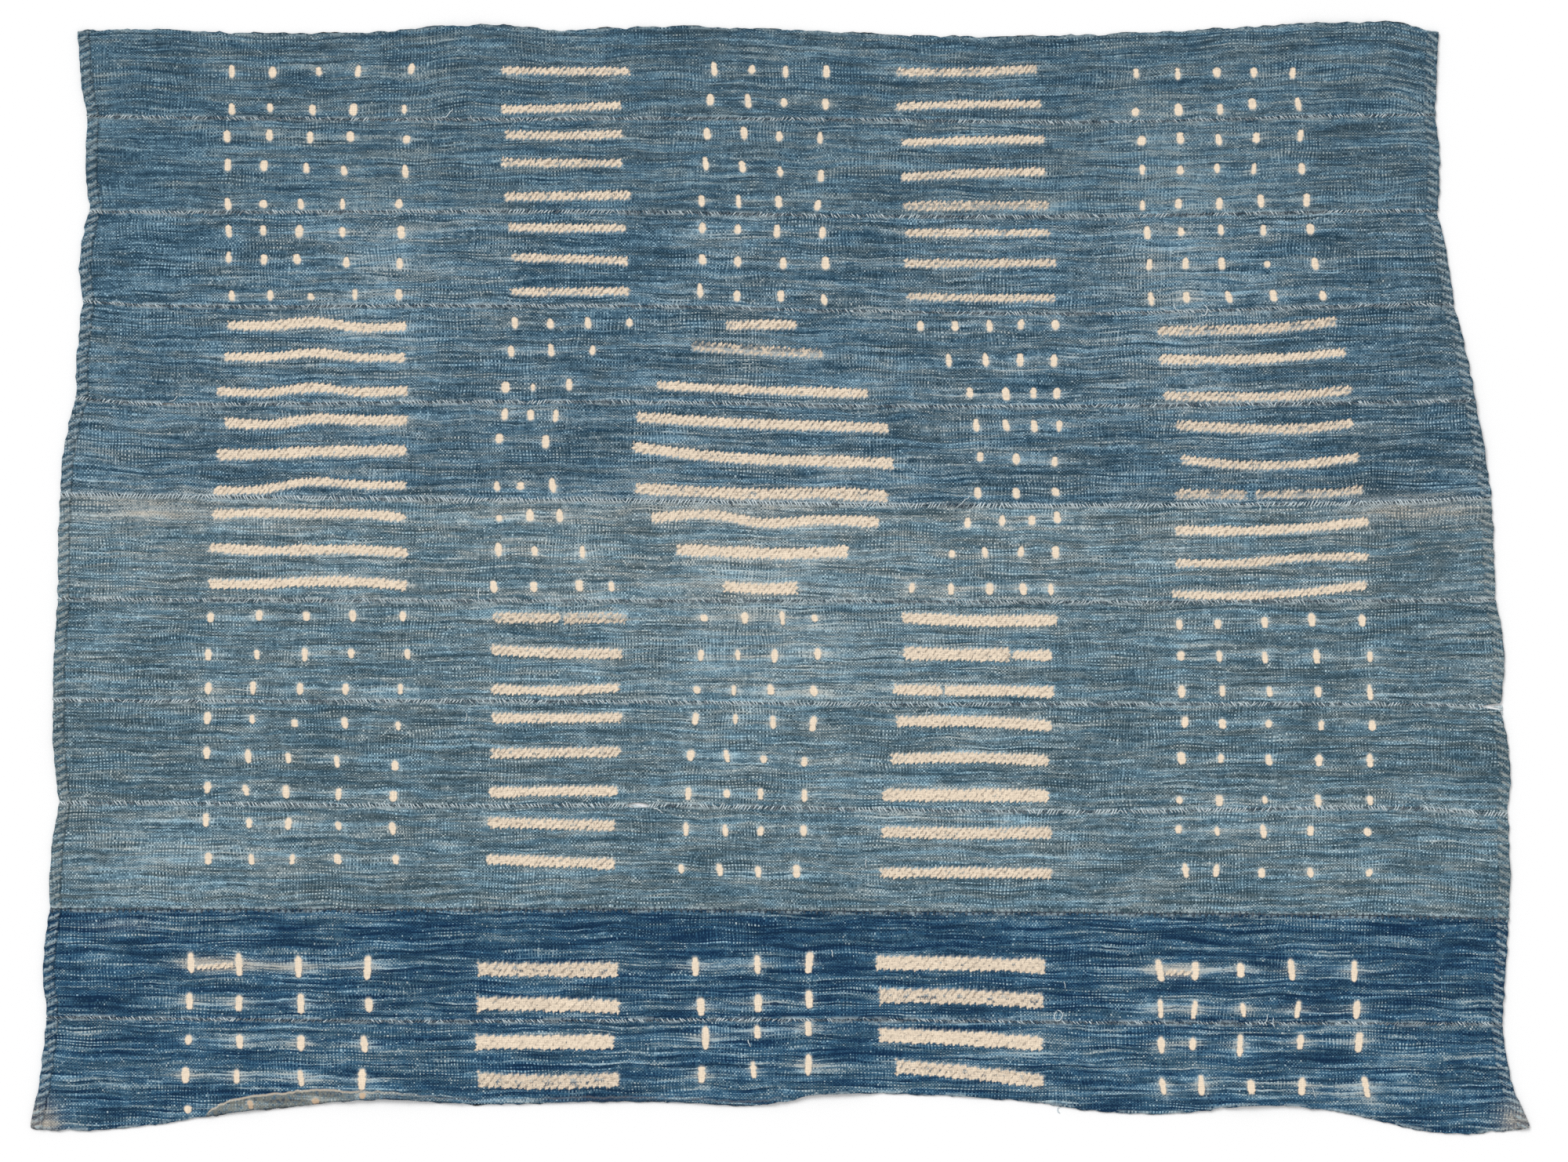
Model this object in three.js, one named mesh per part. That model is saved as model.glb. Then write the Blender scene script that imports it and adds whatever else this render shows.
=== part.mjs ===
// A wrapper cloth of eleven narrow indigo-dyed cotton strips, sewn edge to edge and lying flat.
// Millimetres, +Z up. +X runs along the strips and +Y runs from the lower edge to the upper edge.
// The origin is the middle of the cloth's outline, on the surface that it lies on.
import * as THREE from "three";

// Cloth and hems
const CLOTH_THICKNESS = 1.6;
const HEM_THICKNESS = 2.8;
const END_HEM_WIDTH = 13;
const HEM_STEP = 1.5;
const STRIP_GAP = 0.3;

// How finely each strip is divided
const CELLS_ALONG = 46;
const CELLS_ACROSS = 3;

// The lower edge is turned up onto the face over the stretch that this table covers, by the width that it
// gives. Past the table's ends the strip is single there, with a row at PLAIN_EDGE above the edge.
const PLAIN_EDGE = 7;
const FOLD_WIDTHS = [
  { x: -606, width: 3 },
  { x: -588, width: 11 },
  { x: -530, width: 16 },
  { x: -480, width: 15 },
  { x: -455, width: 9 },
  { x: -400, width: 7 },
  { x: -100, width: 6.5 },
  { x: 8, width: 5 },
];

// The cloth's upper and lower edges, from the left corner to the right one
const UPPER_EDGE = [
  { x: -736, y: 573 },
  { x: -687, y: 575.5 },
  { x: -529, y: 570.5 },
  { x: -407, y: 573 },
  { x: -328, y: 580 },
  { x: -224, y: 574.5 },
  { x: -118, y: 578.5 },
  { x: 15, y: 574 },
  { x: 200, y: 567 },
  { x: 415, y: 573 },
  { x: 625, y: 582.8 },
  { x: 690, y: 573 },
];
const LOWER_EDGE = [
  { x: -785, y: -577 },
  { x: -739, y: -579.5 },
  { x: -650, y: -573 },
  { x: -606, y: -565 },
  { x: -485, y: -551.5 },
  { x: -407, y: -546.5 },
  { x: -328, y: -551.5 },
  { x: -145, y: -548.5 },
  { x: -14, y: -552.5 },
  { x: 44, y: -541 },
  { x: 227, y: -546 },
  { x: 345, y: -560 },
  { x: 415, y: -561.5 },
  { x: 494, y: -553 },
  { x: 572, y: -557.5 },
  { x: 677, y: -580 },
  { x: 717, y: -582.8 },
  { x: 785, y: -577 },
];

// The seams, from the uppermost down. left and right are a seam's ends, and its heights belong to the
// stations.
const SEAM_STATIONS = [-745, -650, -355, -130, 80, 325, 650, 745];
const SEAMS = [
  { left: -726, right: 686.5, heights: [484, 482.5, 480, 481.5, 480, 477.5, 485, 484] },
  { left: -724, right: 689, heights: [384, 383, 384, 383, 379, 379, 384.5, 383] },
  { left: -731, right: 706, heights: [291, 285, 285, 284.5, 279.5, 277, 286, 286] },
  { left: -738, right: 728.5, heights: [189, 182, 184, 184, 180, 180, 184, 186.5] },
  { left: -754.5, right: 745.5, heights: [87, 85.5, 82, 80.5, 76.5, 75.5, 79, 84] },
  { left: -757, right: 749, heights: [-22, -23, -24, -24, -24.5, -25.5, -24, -23] },
  { left: -762, right: 755.5, heights: [-128, -129, -129, -130, -132.5, -132.5, -132.5, -135] },
  { left: -755.5, right: 762, heights: [-236, -236, -239, -238.5, -242.5, -245, -241, -247.5] },
  { left: -765.5, right: 763.5, heights: [-347, -347.5, -347.5, -347.5, -349.5, -351, -354.5, -357.5] },
  { left: -768.5, right: 757, heights: [-460.5, -462, -464.5, -463.5, -463, -466, -467, -467.5] },
];

// Each strip's ends bulge outwards between its two lines by these amounts. A negative one is drawn in.
const STRIPS = [
  { name: "strip_01", leftBulge: 2.5, rightBulge: 0, colour: "#50697a" },
  { name: "strip_02", leftBulge: 2.5, rightBulge: 3.5, colour: "#50697a" },
  { name: "strip_03", leftBulge: 6.5, rightBulge: 2, colour: "#567385" },
  { name: "strip_04", leftBulge: 2, rightBulge: 2, colour: "#567385" },
  { name: "strip_05", leftBulge: 4, rightBulge: 1, colour: "#536f84" },
  { name: "strip_06", leftBulge: 1, rightBulge: 1, colour: "#6d828c" },
  { name: "strip_07", leftBulge: 1.5, rightBulge: 6.5, colour: "#647c88" },
  { name: "strip_08", leftBulge: 2.5, rightBulge: 6, colour: "#627b87" },
  { name: "strip_09", leftBulge: 4, rightBulge: 2.5, colour: "#69818c" },
  { name: "strip_10", leftBulge: 5, rightBulge: 0, colour: "#3f5f74" },
  { name: "strip_11", leftBulge: -1, rightBulge: -5.5, colour: "#41627a" },
];
const COTTON_ROUGHNESS = 0.95;

// Soft ripples where the cloth doesn't lie quite flat. turn is the ridge's direction in degrees from +X.
// length and width reach from its middle to where it has died away, and height is at its middle.
const RIPPLES = [
  { x: 44, y: -520, turn: 96, length: 170, width: 75, height: 4 },
  { x: -400, y: -515, turn: 80, length: 150, width: 80, height: 3 },
  { x: 500, y: -520, turn: 102, length: 160, width: 85, height: 3.5 },
  { x: -330, y: 530, turn: 84, length: 150, width: 75, height: 3 },
  { x: 560, y: 520, turn: 70, length: 160, width: 80, height: 3 },
  { x: 690, y: 150, turn: 20, length: 150, width: 65, height: 3 },
  { x: -690, y: -190, turn: 165, length: 150, width: 60, height: 2.5 },
  { x: -150, y: 380, turn: 12, length: 230, width: 60, height: 2 },
  { x: 250, y: 20, turn: 172, length: 260, width: 65, height: 2 },
];

// The twelve lines that the strips lie between: the upper edge, the seams and the lower edge.
function clothLines() {
  const edge = (points) => ({ left: points[0].x, right: points[points.length - 1].x, points });
  const seams = SEAMS.map(({ left, right, heights }) => {
    const points = SEAM_STATIONS.map((x, k) => ({ x, y: heights[k] }));
    return { left, right, points };
  });
  return [edge(UPPER_EDGE), ...seams, edge(LOWER_EDGE)];
}

// A smooth curve through a line's points, read at x, and level beyond the first and last of them.
function heightOnLine({ points }, x) {
  const last = points.length - 1;
  const along = THREE.MathUtils.clamp(x, points[0].x, points[last].x);
  const after = Math.max(1, points.findIndex((point) => point.x >= along));
  const slopeAt = (k) => {
    const before = points[Math.max(0, k - 1)];
    const next = points[Math.min(last, k + 1)];
    return (next.y - before.y) / (next.x - before.x);
  };
  const from = points[after - 1];
  const to = points[after];
  const span = to.x - from.x;
  const t = (along - from.x) / span;
  const climb = to.y - from.y;
  const start = slopeAt(after - 1) * span;
  const end = slopeAt(after) * span;
  return from.y + t * (start + t * (3 * climb - 2 * start - end + t * (start + end - 2 * climb)));
}

function foldWidthAt(x) {
  if (x < FOLD_WIDTHS[0].x || x > FOLD_WIDTHS[FOLD_WIDTHS.length - 1].x) {
    return 0;
  }
  const after = Math.max(1, FOLD_WIDTHS.findIndex((row) => row.x >= x));
  const from = FOLD_WIDTHS[after - 1];
  const to = FOLD_WIDTHS[after];
  return THREE.MathUtils.mapLinear(x, from.x, to.x, from.width, to.width);
}

function softBump(distance) {
  const inside = Math.max(0, 1 - distance * distance);
  return inside * inside;
}

// How far the cloth's underside is lifted at a place.
function liftAt(x, y) {
  let lift = 0;
  for (const ripple of RIPPLES) {
    const turn = THREE.MathUtils.degToRad(ripple.turn);
    const dx = x - ripple.x;
    const dy = y - ripple.y;
    const along = (dx * Math.cos(turn) + dy * Math.sin(turn)) / ripple.length;
    const across = (dy * Math.cos(turn) - dx * Math.sin(turn)) / ripple.width;
    lift += ripple.height * softBump(along) * softBump(across);
  }
  return lift;
}

// The columns run from end to end. A column's inset is measured from the nearer end where a hem is, and its
// share is a fraction of the length between the two hems.
function stripColumns() {
  const columns = [{ side: "left", inset: 0, hem: true }, { side: "left", inset: END_HEM_WIDTH, hem: true }];
  for (let k = 0; k <= CELLS_ALONG; k++) {
    columns.push({ share: k / CELLS_ALONG, hem: false });
  }
  columns.push({ side: "right", inset: END_HEM_WIDTH, hem: true }, { side: "right", inset: 0, hem: true });
  return columns;
}

// The rows run from the upper line to the lower one. A row's rise is its height over the place that share
// gives.
function stripRows(isLowest) {
  const rows = [];
  const plainRows = isLowest ? CELLS_ACROSS - 1 : CELLS_ACROSS;
  for (let k = 0; k <= plainRows; k++) {
    rows.push({ share: k / CELLS_ACROSS, rise: () => 0, folded: false });
  }
  if (isLowest) {
    const foldTop = (x) => foldWidthAt(x) || PLAIN_EDGE;
    rows.push({ share: 1, rise: (x) => foldTop(x) + HEM_STEP, folded: false });
    rows.push({ share: 1, rise: foldTop, folded: true });
    rows.push({ share: 1, rise: () => 0, folded: true });
  }
  return rows;
}

function columnPlace(column, left, right) {
  if (column.side === "left") {
    return left + column.inset;
  }
  if (column.side === "right") {
    return right - column.inset;
  }
  const margin = END_HEM_WIDTH + HEM_STEP;
  return THREE.MathUtils.lerp(left + margin, right - margin, column.share);
}

// One strip as a closed sheet: a grid on its face, the same grid on its underside, and a wall round the edge.
function stripGeometry(index, upper, lower) {
  const { leftBulge, rightBulge } = STRIPS[index];
  const isUppermost = index === 0;
  const isLowest = index === STRIPS.length - 1;
  const columns = stripColumns();
  const rows = stripRows(isLowest);
  const face = [];
  const underside = [];
  for (const row of rows) {
    const bow = 4 * row.share * (1 - row.share);
    const left = THREE.MathUtils.lerp(upper.left, lower.left, row.share) - leftBulge * bow;
    const right = THREE.MathUtils.lerp(upper.right, lower.right, row.share) + rightBulge * bow;
    for (const column of columns) {
      const x = columnPlace(column, left, right);
      const top = heightOnLine(upper, x) - (isUppermost ? 0 : STRIP_GAP / 2);
      const bottom = heightOnLine(lower, x) + (isLowest ? 0 : STRIP_GAP / 2);
      const y = THREE.MathUtils.lerp(top, bottom, row.share) + row.rise(x);
      const lift = liftAt(x, y);
      const doubled = column.hem || (row.folded && foldWidthAt(x) > 0);
      face.push(x, y, lift + (doubled ? HEM_THICKNESS : CLOTH_THICKNESS));
      underside.push(x, y, lift);
    }
  }
  const count = face.length / 3;
  const across = columns.length;
  const triangles = [];
  const quad = (a, b, c, d) => triangles.push(a, b, c, a, c, d);
  for (let j = 0; j < rows.length - 1; j++) {
    for (let i = 0; i < across - 1; i++) {
      const a = j * across + i;
      const b = a + 1;
      const c = b + across;
      const d = a + across;
      quad(a, d, c, b);
      quad(count + a, count + b, count + c, count + d);
    }
  }
  const wall = (a, b) => quad(a, b, count + b, count + a);
  const lastRow = (rows.length - 1) * across;
  for (let i = 0; i < across - 1; i++) {
    wall(i, i + 1);
    wall(lastRow + i + 1, lastRow + i);
  }
  for (let j = 0; j < rows.length - 1; j++) {
    wall((j + 1) * across, j * across);
    wall(j * across + across - 1, (j + 1) * across + across - 1);
  }
  const geometry = new THREE.BufferGeometry();
  geometry.setAttribute("position", new THREE.Float32BufferAttribute([...face, ...underside], 3));
  geometry.setIndex(triangles);
  geometry.computeVertexNormals();
  return geometry;
}

function stripMesh(index, upper, lower) {
  const material = new THREE.MeshStandardMaterial({
    color: STRIPS[index].colour,
    roughness: COTTON_ROUGHNESS,
    metalness: 0,
  });
  const mesh = new THREE.Mesh(stripGeometry(index, upper, lower), material);
  mesh.name = STRIPS[index].name;
  return mesh;
}

const cloth = new THREE.Group();
const lines = clothLines();
for (let index = 0; index < STRIPS.length; index++) {
  cloth.add(stripMesh(index, lines[index], lines[index + 1]));
}

export default cloth;
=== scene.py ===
import math
from types import SimpleNamespace

import bpy
import numpy as np
from bpy.props import FloatProperty, FloatVectorProperty, PointerProperty
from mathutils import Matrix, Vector


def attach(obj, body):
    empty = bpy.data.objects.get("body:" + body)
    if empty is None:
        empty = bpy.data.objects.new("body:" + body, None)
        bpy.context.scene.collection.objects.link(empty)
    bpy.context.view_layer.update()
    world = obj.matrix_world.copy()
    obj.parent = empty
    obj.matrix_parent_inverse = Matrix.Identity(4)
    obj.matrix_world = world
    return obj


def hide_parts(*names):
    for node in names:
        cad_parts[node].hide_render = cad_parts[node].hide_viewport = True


bl_info = {
    "name": "Indigo strip cloth",
    "version": (1, 0, 0),
    "blender": (4, 5, 0),
    "location": "3D View > Sidebar > Indigo cloth",
    "description": "Makes a flat cloth of eleven sewn indigo strips with resist-dyed bars and dots",
    "category": "Object",
}

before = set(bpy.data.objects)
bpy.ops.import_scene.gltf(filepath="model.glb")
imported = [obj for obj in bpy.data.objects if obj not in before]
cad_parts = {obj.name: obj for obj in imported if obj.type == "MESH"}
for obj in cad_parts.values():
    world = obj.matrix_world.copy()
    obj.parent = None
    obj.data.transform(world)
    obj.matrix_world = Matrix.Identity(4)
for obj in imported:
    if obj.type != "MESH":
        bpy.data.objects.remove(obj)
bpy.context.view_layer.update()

MM = 0.001
STRIP_COUNT = 11

# The cloth is a grid of points. HEM_COLUMN is its column along a hem's stitches, counted from the end, and
# SIDE_ROWS says how far its rows beside a selvedge lie from it, in millimetres. FOLD_ROWS gives the rows at
# the turned-up edge: above the fold in millimetres, and on it as shares of how far it is turned, which counts
# as LEAST_FOLD or more. Other rows stay FOLD_ROOM away from the lower line.
HEM_COLUMN = 8
SIDE_ROWS = [0, 0.3, 0.9, 1.8, 3.2]
FOLD_ROWS = [2.2, 1.2, 0.5, 0, -0.7, -0.9, -0.96, -1.0]
FOLD_ROOM = 22
LEAST_FOLD = 3.0

# How high the cloth's underside lies where it is lowest, and how far to the right frayed threads reach, in
# millimetres.
REST_HEIGHT = 0.9
FRAYED_REACH = 757

# The floor's reach from the middle in metres, the sun lamp's strength, spread in degrees and direction, the
# light of the room, and the camera's place in metres, with its lens and film in millimetres.
FLOOR_REACH = 30.0
LAMP_STRENGTH = 1.8
LAMP_SPREAD = 28
LAMP_DIRECTION = (-1.3, 1.6, 1.9)
ROOM_LIGHT = 0.645
CAMERA_PLACE = (0.0041, -0.0033, 3.882)
CAMERA_LENS = 85
CAMERA_FILM = 36

# Tones of wear and of the marks, as light: soiled brown, shadow in the undyed cotton, painted shade in
# needle holes, and marks that show on the turned-up edge.
SOILED = (0.62, 0.50, 0.37)
CREAM_SHADOW = (0.40, 0.33, 0.26)
NEEDLE_HOLE_SHADE = (0.20, 0.19, 0.18)
MARK_ON_REVERSE = (0.56, 0.36, 0.20)

# The chart of the resist-dyed marks. Its squares are the pixels of the photograph, which is 2000 wide and
# 1482 high, counted from the upper left corner. CHART_SQUARE is the size of a square in millimetres, and
# CHART_MIDDLE is the square at the cloth's middle.
CHART_SQUARE = 0.822
CHART_MIDDLE = (995, 737)

# Bars taller than TALL_BAR squares, and dots below DARK_LINE, lie on the two dark strips. Dots above
# DULL_LINE are duller. DOT_HEIGHTS gives half the height of a dot, in millimetres, from each of its lines
# down to the line before it.
TALL_BAR = 15
DARK_LINE = 1190
DULL_LINE = 640
DOT_HEIGHTS = [(1412, 5.4), (1400, 3.4), (1260, 9.0), (DARK_LINE, 10.5), (0, 5.7)]

# Each mark has a seed of its own for its ragged sides. The seeds of the tall bars are raised, and those of
# marks above the cloth's middle are lowered below 0, so that the finish can tell them.
DARK_SEED = 20
UPPER_SEED = -1.02
SEED_SCALE = 50

# In millimetres: a mark is a bar where half its length is more than LEAST_BAR, marks up to NEAR_MARK above or
# below a strip count for it, and each strip's threads start THREAD_SHIFT further on than the last one's, so
# that no two strips look alike.
LEAST_BAR = 8.0
NEAR_MARK = 12
THREAD_SHIFT = 2000

# Groups of bars, each with its bars' height. Then a row for each bar: its left end, its right end, its places
# up and down the chart from left to right, and how far dye has crept in.
BARS = [
    (11, [(640, 803, (90, 91, 91), 0.4), (640, 792, (140, 138, 134), 0.3), (645, 794, (172, 173, 171), 0.3),
        (640, 793, (207, 208, 208), 0.5), (645, 803, (251, 250, 249), 0.4), (648, 799, (290, 291, 291), 0.3),
        (652, 802, (328, 330, 333), 0.4), (652, 803, (372, 372, 371), 0.4)]),
    (11, [(1143, 1323, (92, 92, 88), 0.65), (1143, 1328, (136, 133, 133), 0.35),
        (1150, 1332, (182, 179, 178), 0.25), (1150, 1333, (226, 221, 219), 0.45),
        (1152, 1338, (263, 262, 262), 0.85), (1155, 1339, (297, 297, 297), 0.45),
        (1154, 1347, (336, 336, 335), 0.55), (1157, 1345, (378, 380, 380), 0.45)]),
    (13, [(290, 519, (415, 415, 411, 418, 416), 0.1), (287, 517, (455, 455, 450, 456, 456), 0.0),
        (277, 520, (499, 501, 494, 500, 498), 0.2), (287, 520, (539, 541, 534, 536, 536), 0.2),
        (278, 518, (580, 579, 576, 575, 574), 0.2), (274, 518, (626, 624, 614, 618, 619), 0.2),
        (272, 517, (656, 654, 655, 655, 660), 0.1), (268, 519, (698, 702, 701, 701, 705), 0.1),
        (267, 519, (745, 745, 742, 742, 747), 0.0)]),
    (12, [(927, 1015, (415, 414, 414), 0.4), (882, 1050, (441, 447, 451), 0.9),
        (838, 1107, (491, 496, 499, 502), 0.2), (812, 1133, (532, 537, 541, 543, 546), 0.3),
        (808, 1139, (570, 580, 586, 588, 591), 0.2)]),
    (14, [(811, 1132, (623, 627, 630, 629, 633), 0.4), (832, 1120, (660, 656, 667, 663, 666), 0.2),
        (863, 1081, (701, 704, 706, 703), 0.1), (923, 1017, (748, 751, 750), 0.1)]),
    (12, [(1477, 1704, (422, 421, 418, 410), 0.65), (1479, 1715, (458, 459, 456, 449), 0.25),
        (1485, 1723, (505, 506, 505, 497), 0.45), (1500, 1725, (542, 546, 547, 540), 0.55),
        (1507, 1732, (586, 593, 592, 583), 0.45), (1500, 1589, (630, 630, 631), 0.9),
        (1601, 1737, (631, 630, 629, 624), 0.85), (1500, 1744, (676, 677, 673, 665), 0.15),
        (1499, 1744, (718, 718, 711, 710), 0.35), (1495, 1743, (758, 760, 756, 746), 0.15)]),
    (14, [(630, 714, (788, 788, 788), 0.5), (718, 799, (789, 788, 789), 0.8),
        (627, 793, (829, 833, 834), 0.2), (627, 790, (879, 881, 877), 0.1), (628, 793, (916, 916, 915), 0.1),
        (627, 791, (961, 960, 959), 0.3), (625, 787, (1011, 1009, 1009), 0.1),
        (623, 784, (1049, 1051, 1053), 0.3), (622, 783, (1096, 1099, 1102), 0.2)]),
    (15, [(1151, 1348, (788, 792, 791), 0.1), (1153, 1288, (833, 835, 835), 0.2),
        (1292, 1341, (835, 836, 836), 0.1), (1139, 1202, (879, 880, 881), 0.1),
        (1204, 1344, (881, 881, 883), 0.1), (1143, 1341, (920, 920, 926), 0.1),
        (1137, 1337, (968, 966, 970), 0.2), (1127, 1336, (1014, 1014, 1015), 0.1),
        (1125, 1341, (1061, 1063, 1062), 0.3), (1122, 1342, (1113, 1113, 1114), 0.3)]),
    (18, [(610, 788, (1236, 1237, 1237), 0.6), (609, 790, (1280, 1281, 1284), 0.3),
        (607, 783, (1329, 1329, 1329), 0.1), (610, 790, (1377, 1380, 1377), 0.7),
        (1118, 1332, (1228, 1229, 1232), 0.3), (1122, 1330, (1270, 1271, 1277), 0.6),
        (1122, 1329, (1320, 1324, 1331), 0.2), (1143, 1330, (1360, 1368, 1379), 0.5)]),
    (8, [(250, 299, (1234, 1232, 1231), 0.3), (1486, 1520, (1240, 1240, 1240), 0.5)]),
]

# A row for each line of dots: the heights of its first and last dot, and the places of its dots.
DOTS = [
    (93, 89, (296, 348, 407, 457, 525)), (139, 141, (296, 345, 399, 451, 516)),
    (173, 176, (290, 344, 396, 447, 519)), (210, 220, (291, 337, 391, 439, 517)),
    (261, 260, (291, 336, 384, 437, 509)), (295, 295, (292, 336, 382, 437, 512)),
    (329, 335, (292, 337, 379, 442, 510)), (377, 376, (296, 345, 397, 453, 509)),
    (88, 93, (911, 959, 1002, 1054)), (128, 134, (906, 954, 1000, 1053)),
    (169, 175, (902, 949, 994, 1046)), (209, 225, (900, 947, 995, 1047)),
    (256, 261, (895, 942, 993, 1043)), (291, 295, (896, 941, 991, 1049)),
    (331, 336, (896, 941, 999, 1053)), (372, 382, (893, 940, 996, 1051)),
    (94, 93, (1449, 1502, 1552, 1599, 1648)), (143, 132, (1448, 1503, 1556, 1597, 1655)),
    (179, 175, (1456, 1505, 1554, 1602, 1658)), (218, 214, (1457, 1505, 1552, 1599, 1660)),
    (262, 256, (1457, 1503, 1555, 1608, 1666)), (297, 293, (1463, 1506, 1557, 1611, 1671)),
    (337, 336, (1466, 1512, 1558, 1616, 1677)), (381, 377, (1468, 1513, 1567, 1624, 1687)),
    (412, 411, (657, 702, 750, 803)), (447, 447, (652, 703, 756)), (493, 493, (645, 680, 726)),
    (528, 530, (644, 677, 709)), (560, 563, (637, 696)), (621, 618, (634, 664, 705)),
    (660, 656, (637, 676, 714)), (702, 705, (636, 682, 743)), (748, 748, (630, 681, 739, 780)),
    (416, 415, (1174, 1218, 1262, 1302, 1346)), (460, 460, (1210, 1257, 1301, 1344)),
    (502, 502, (1237, 1283, 1318, 1348)), (542, 543, (1245, 1283, 1319, 1351)),
    (584, 587, (1250, 1296, 1345)), (628, 628, (1247, 1296, 1346)),
    (667, 661, (1234, 1278, 1316, 1348)), (706, 703, (1214, 1256, 1302, 1346)),
    (750, 753, (1163, 1213, 1262, 1305, 1340)), (785, 785, (269, 331, 391, 450, 514)),
    (835, 834, (266, 328, 389, 448, 520)), (878, 879, (266, 323, 383, 441, 511)),
    (916, 926, (265, 322, 376, 440, 508)), (960, 976, (264, 317, 368, 430, 504)),
    (1005, 1015, (265, 314, 365, 432, 502)), (1046, 1056, (263, 318, 368, 432, 501)),
    (1095, 1097, (266, 321, 373, 431, 505)), (788, 789, (898, 950, 998, 1039)),
    (835, 835, (894, 941, 988, 1043)), (879, 882, (889, 936, 983, 1038)),
    (917, 923, (887, 938, 986, 1037)), (963, 969, (881, 927, 974, 1026)),
    (1012, 1014, (878, 927, 970, 1026)), (1057, 1060, (875, 925, 970, 1025)),
    (1108, 1112, (869, 918, 967, 1016)), (798, 791, (1504, 1553, 1613, 1673, 1737)),
    (837, 838, (1506, 1555, 1613, 1679, 1747)), (881, 883, (1507, 1559, 1619, 1681, 1747)),
    (921, 927, (1511, 1559, 1618, 1685, 1750)), (967, 970, (1507, 1557, 1618, 1682, 1747)),
    (1021, 1021, (1504, 1555, 1613, 1681, 1747)), (1058, 1062, (1503, 1552, 1611, 1671, 1744)),
    (1111, 1113, (1512, 1551, 1609, 1671, 1746)), (1228, 1235, (244, 305, 381, 469)),
    (1277, 1281, (242, 305, 384, 471)), (1327, 1330, (241, 306, 384, 465)),
    (1371, 1377, (237, 302, 384, 462)), (1415, 1415, (240,)), (1409, 1399, (320, 403, 463)),
    (1234, 1229, (887, 966, 1032)), (1284, 1275, (894, 967, 1032)), (1322, 1310, (900, 966, 1031)),
    (1371, 1358, (895, 961, 1031)), (1239, 1239, (1479, 1524, 1582, 1647, 1727)),
    (1287, 1287, (1480, 1523, 1585, 1655, 1730)), (1333, 1329, (1481, 1521, 1581, 1658, 1733)),
    (1385, 1386, (1483, 1532, 1595, 1660, 1742)),
]

# Faded and deep areas of the dye: middle, reach along, reach across, how much paler, and how much warmer.
PATCHES = [
    # The faded cloud under the lozenge, and the paler middle below it.
    (980, 780, 200, 110, 0.5, 0.2), (1000, 950, 200, 100, 0.4, 0.0),
    # The pale column beside the upper right dots, and a fainter one beside the upper left bars.
    (1500, 300, 100, 180, 0.6, 0.0), (470, 380, 100, 180, 0.4, 0.0),
    # The sixth strip, greyed along its top and browned at both its ends.
    (200, 650, 140, 20, 0.5, 0.7), (900, 650, 260, 20, 0.3, 0.4), (1800, 650, 120, 20, 0.3, 0.8),
    # The ninth strip, faded at the left and around its right bars.
    (230, 1090, 160, 60, 0.5, 0.1), (1240, 1050, 120, 40, 0.5, 0.0),
    # The pale band along the seam above the ninth strip.
    (1640, 1020, 180, 20, 0.5, 0.1),
    # The deep right side, and the deep places round the upper bars.
    (1760, 560, 140, 300, -0.4, 0.0), (1410, 590, 100, 60, -0.3, 0.0), (770, 330, 90, 110, -0.3, -0.4),
    # The left side of the upper strips, deeper and bluer.
    (180, 270, 100, 160, -0.2, -0.5),
    # The deep top of the tenth strip, and the deep middle of the two dark strips.
    (1000, 1190, 440, 20, -0.5, -0.1), (1090, 1310, 140, 60, -0.3, -0.2),
    # The streaks at the left of the tenth strip, and the links between its first dots at each side.
    (150, 1180, 60, 10, 0.9, 0.4), (270, 1230, 30, 10, 0.8, 0.8), (340, 1230, 40, 10, 0.7, 0.3),
    (1500, 1240, 20, 10, 0.6, 0.6),
    # The browned lower corners.
    (50, 1430, 30, 30, 0.4, 1.2), (1940, 1430, 30, 30, 0.4, 1.2),
]

# The turned-up lower edge: place along and how far it is turned, in millimetres, and how much of it is bare
# reverse.
FOLD = [
    (-606, 0, 1), (-600, 4, 1), (-588, 11, 1), (-560, 15, 1), (-530, 16, 1), (-480, 15, 1),
    (-455, 10, 0.8), (-400, 7, 0.35), (-340, 5, 0.1), (-100, 5, 0.15), (0, 4.5, 0.1), (8, 0, 0),
]

# Soft rises where the cloth doesn't lie quite flat, in millimetres: middle along and across, direction in
# degrees, reach along, reach across, height.
RISES = [
    (44, -520, 96, 170, 75, 4.0), (-400, -515, 80, 150, 80, 3.0), (500, -520, 102, 160, 85, 3.5),
    (-330, 530, 84, 150, 75, 3.0), (560, 520, 70, 160, 80, 3.0), (690, 150, 20, 150, 65, 3.0),
    (-690, -190, 165, 150, 60, 2.5), (-150, 380, 12, 230, 60, 2.0), (250, 20, 172, 260, 65, 2.0),
]

# Where a seam has come open: number of the seam, middle along in millimetres, half its length, and how wide.
OPENINGS = [(4, -641, 7, 2.6), (8, -149, 14, 5.5), (7, 765, 32, 7.5)]

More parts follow.
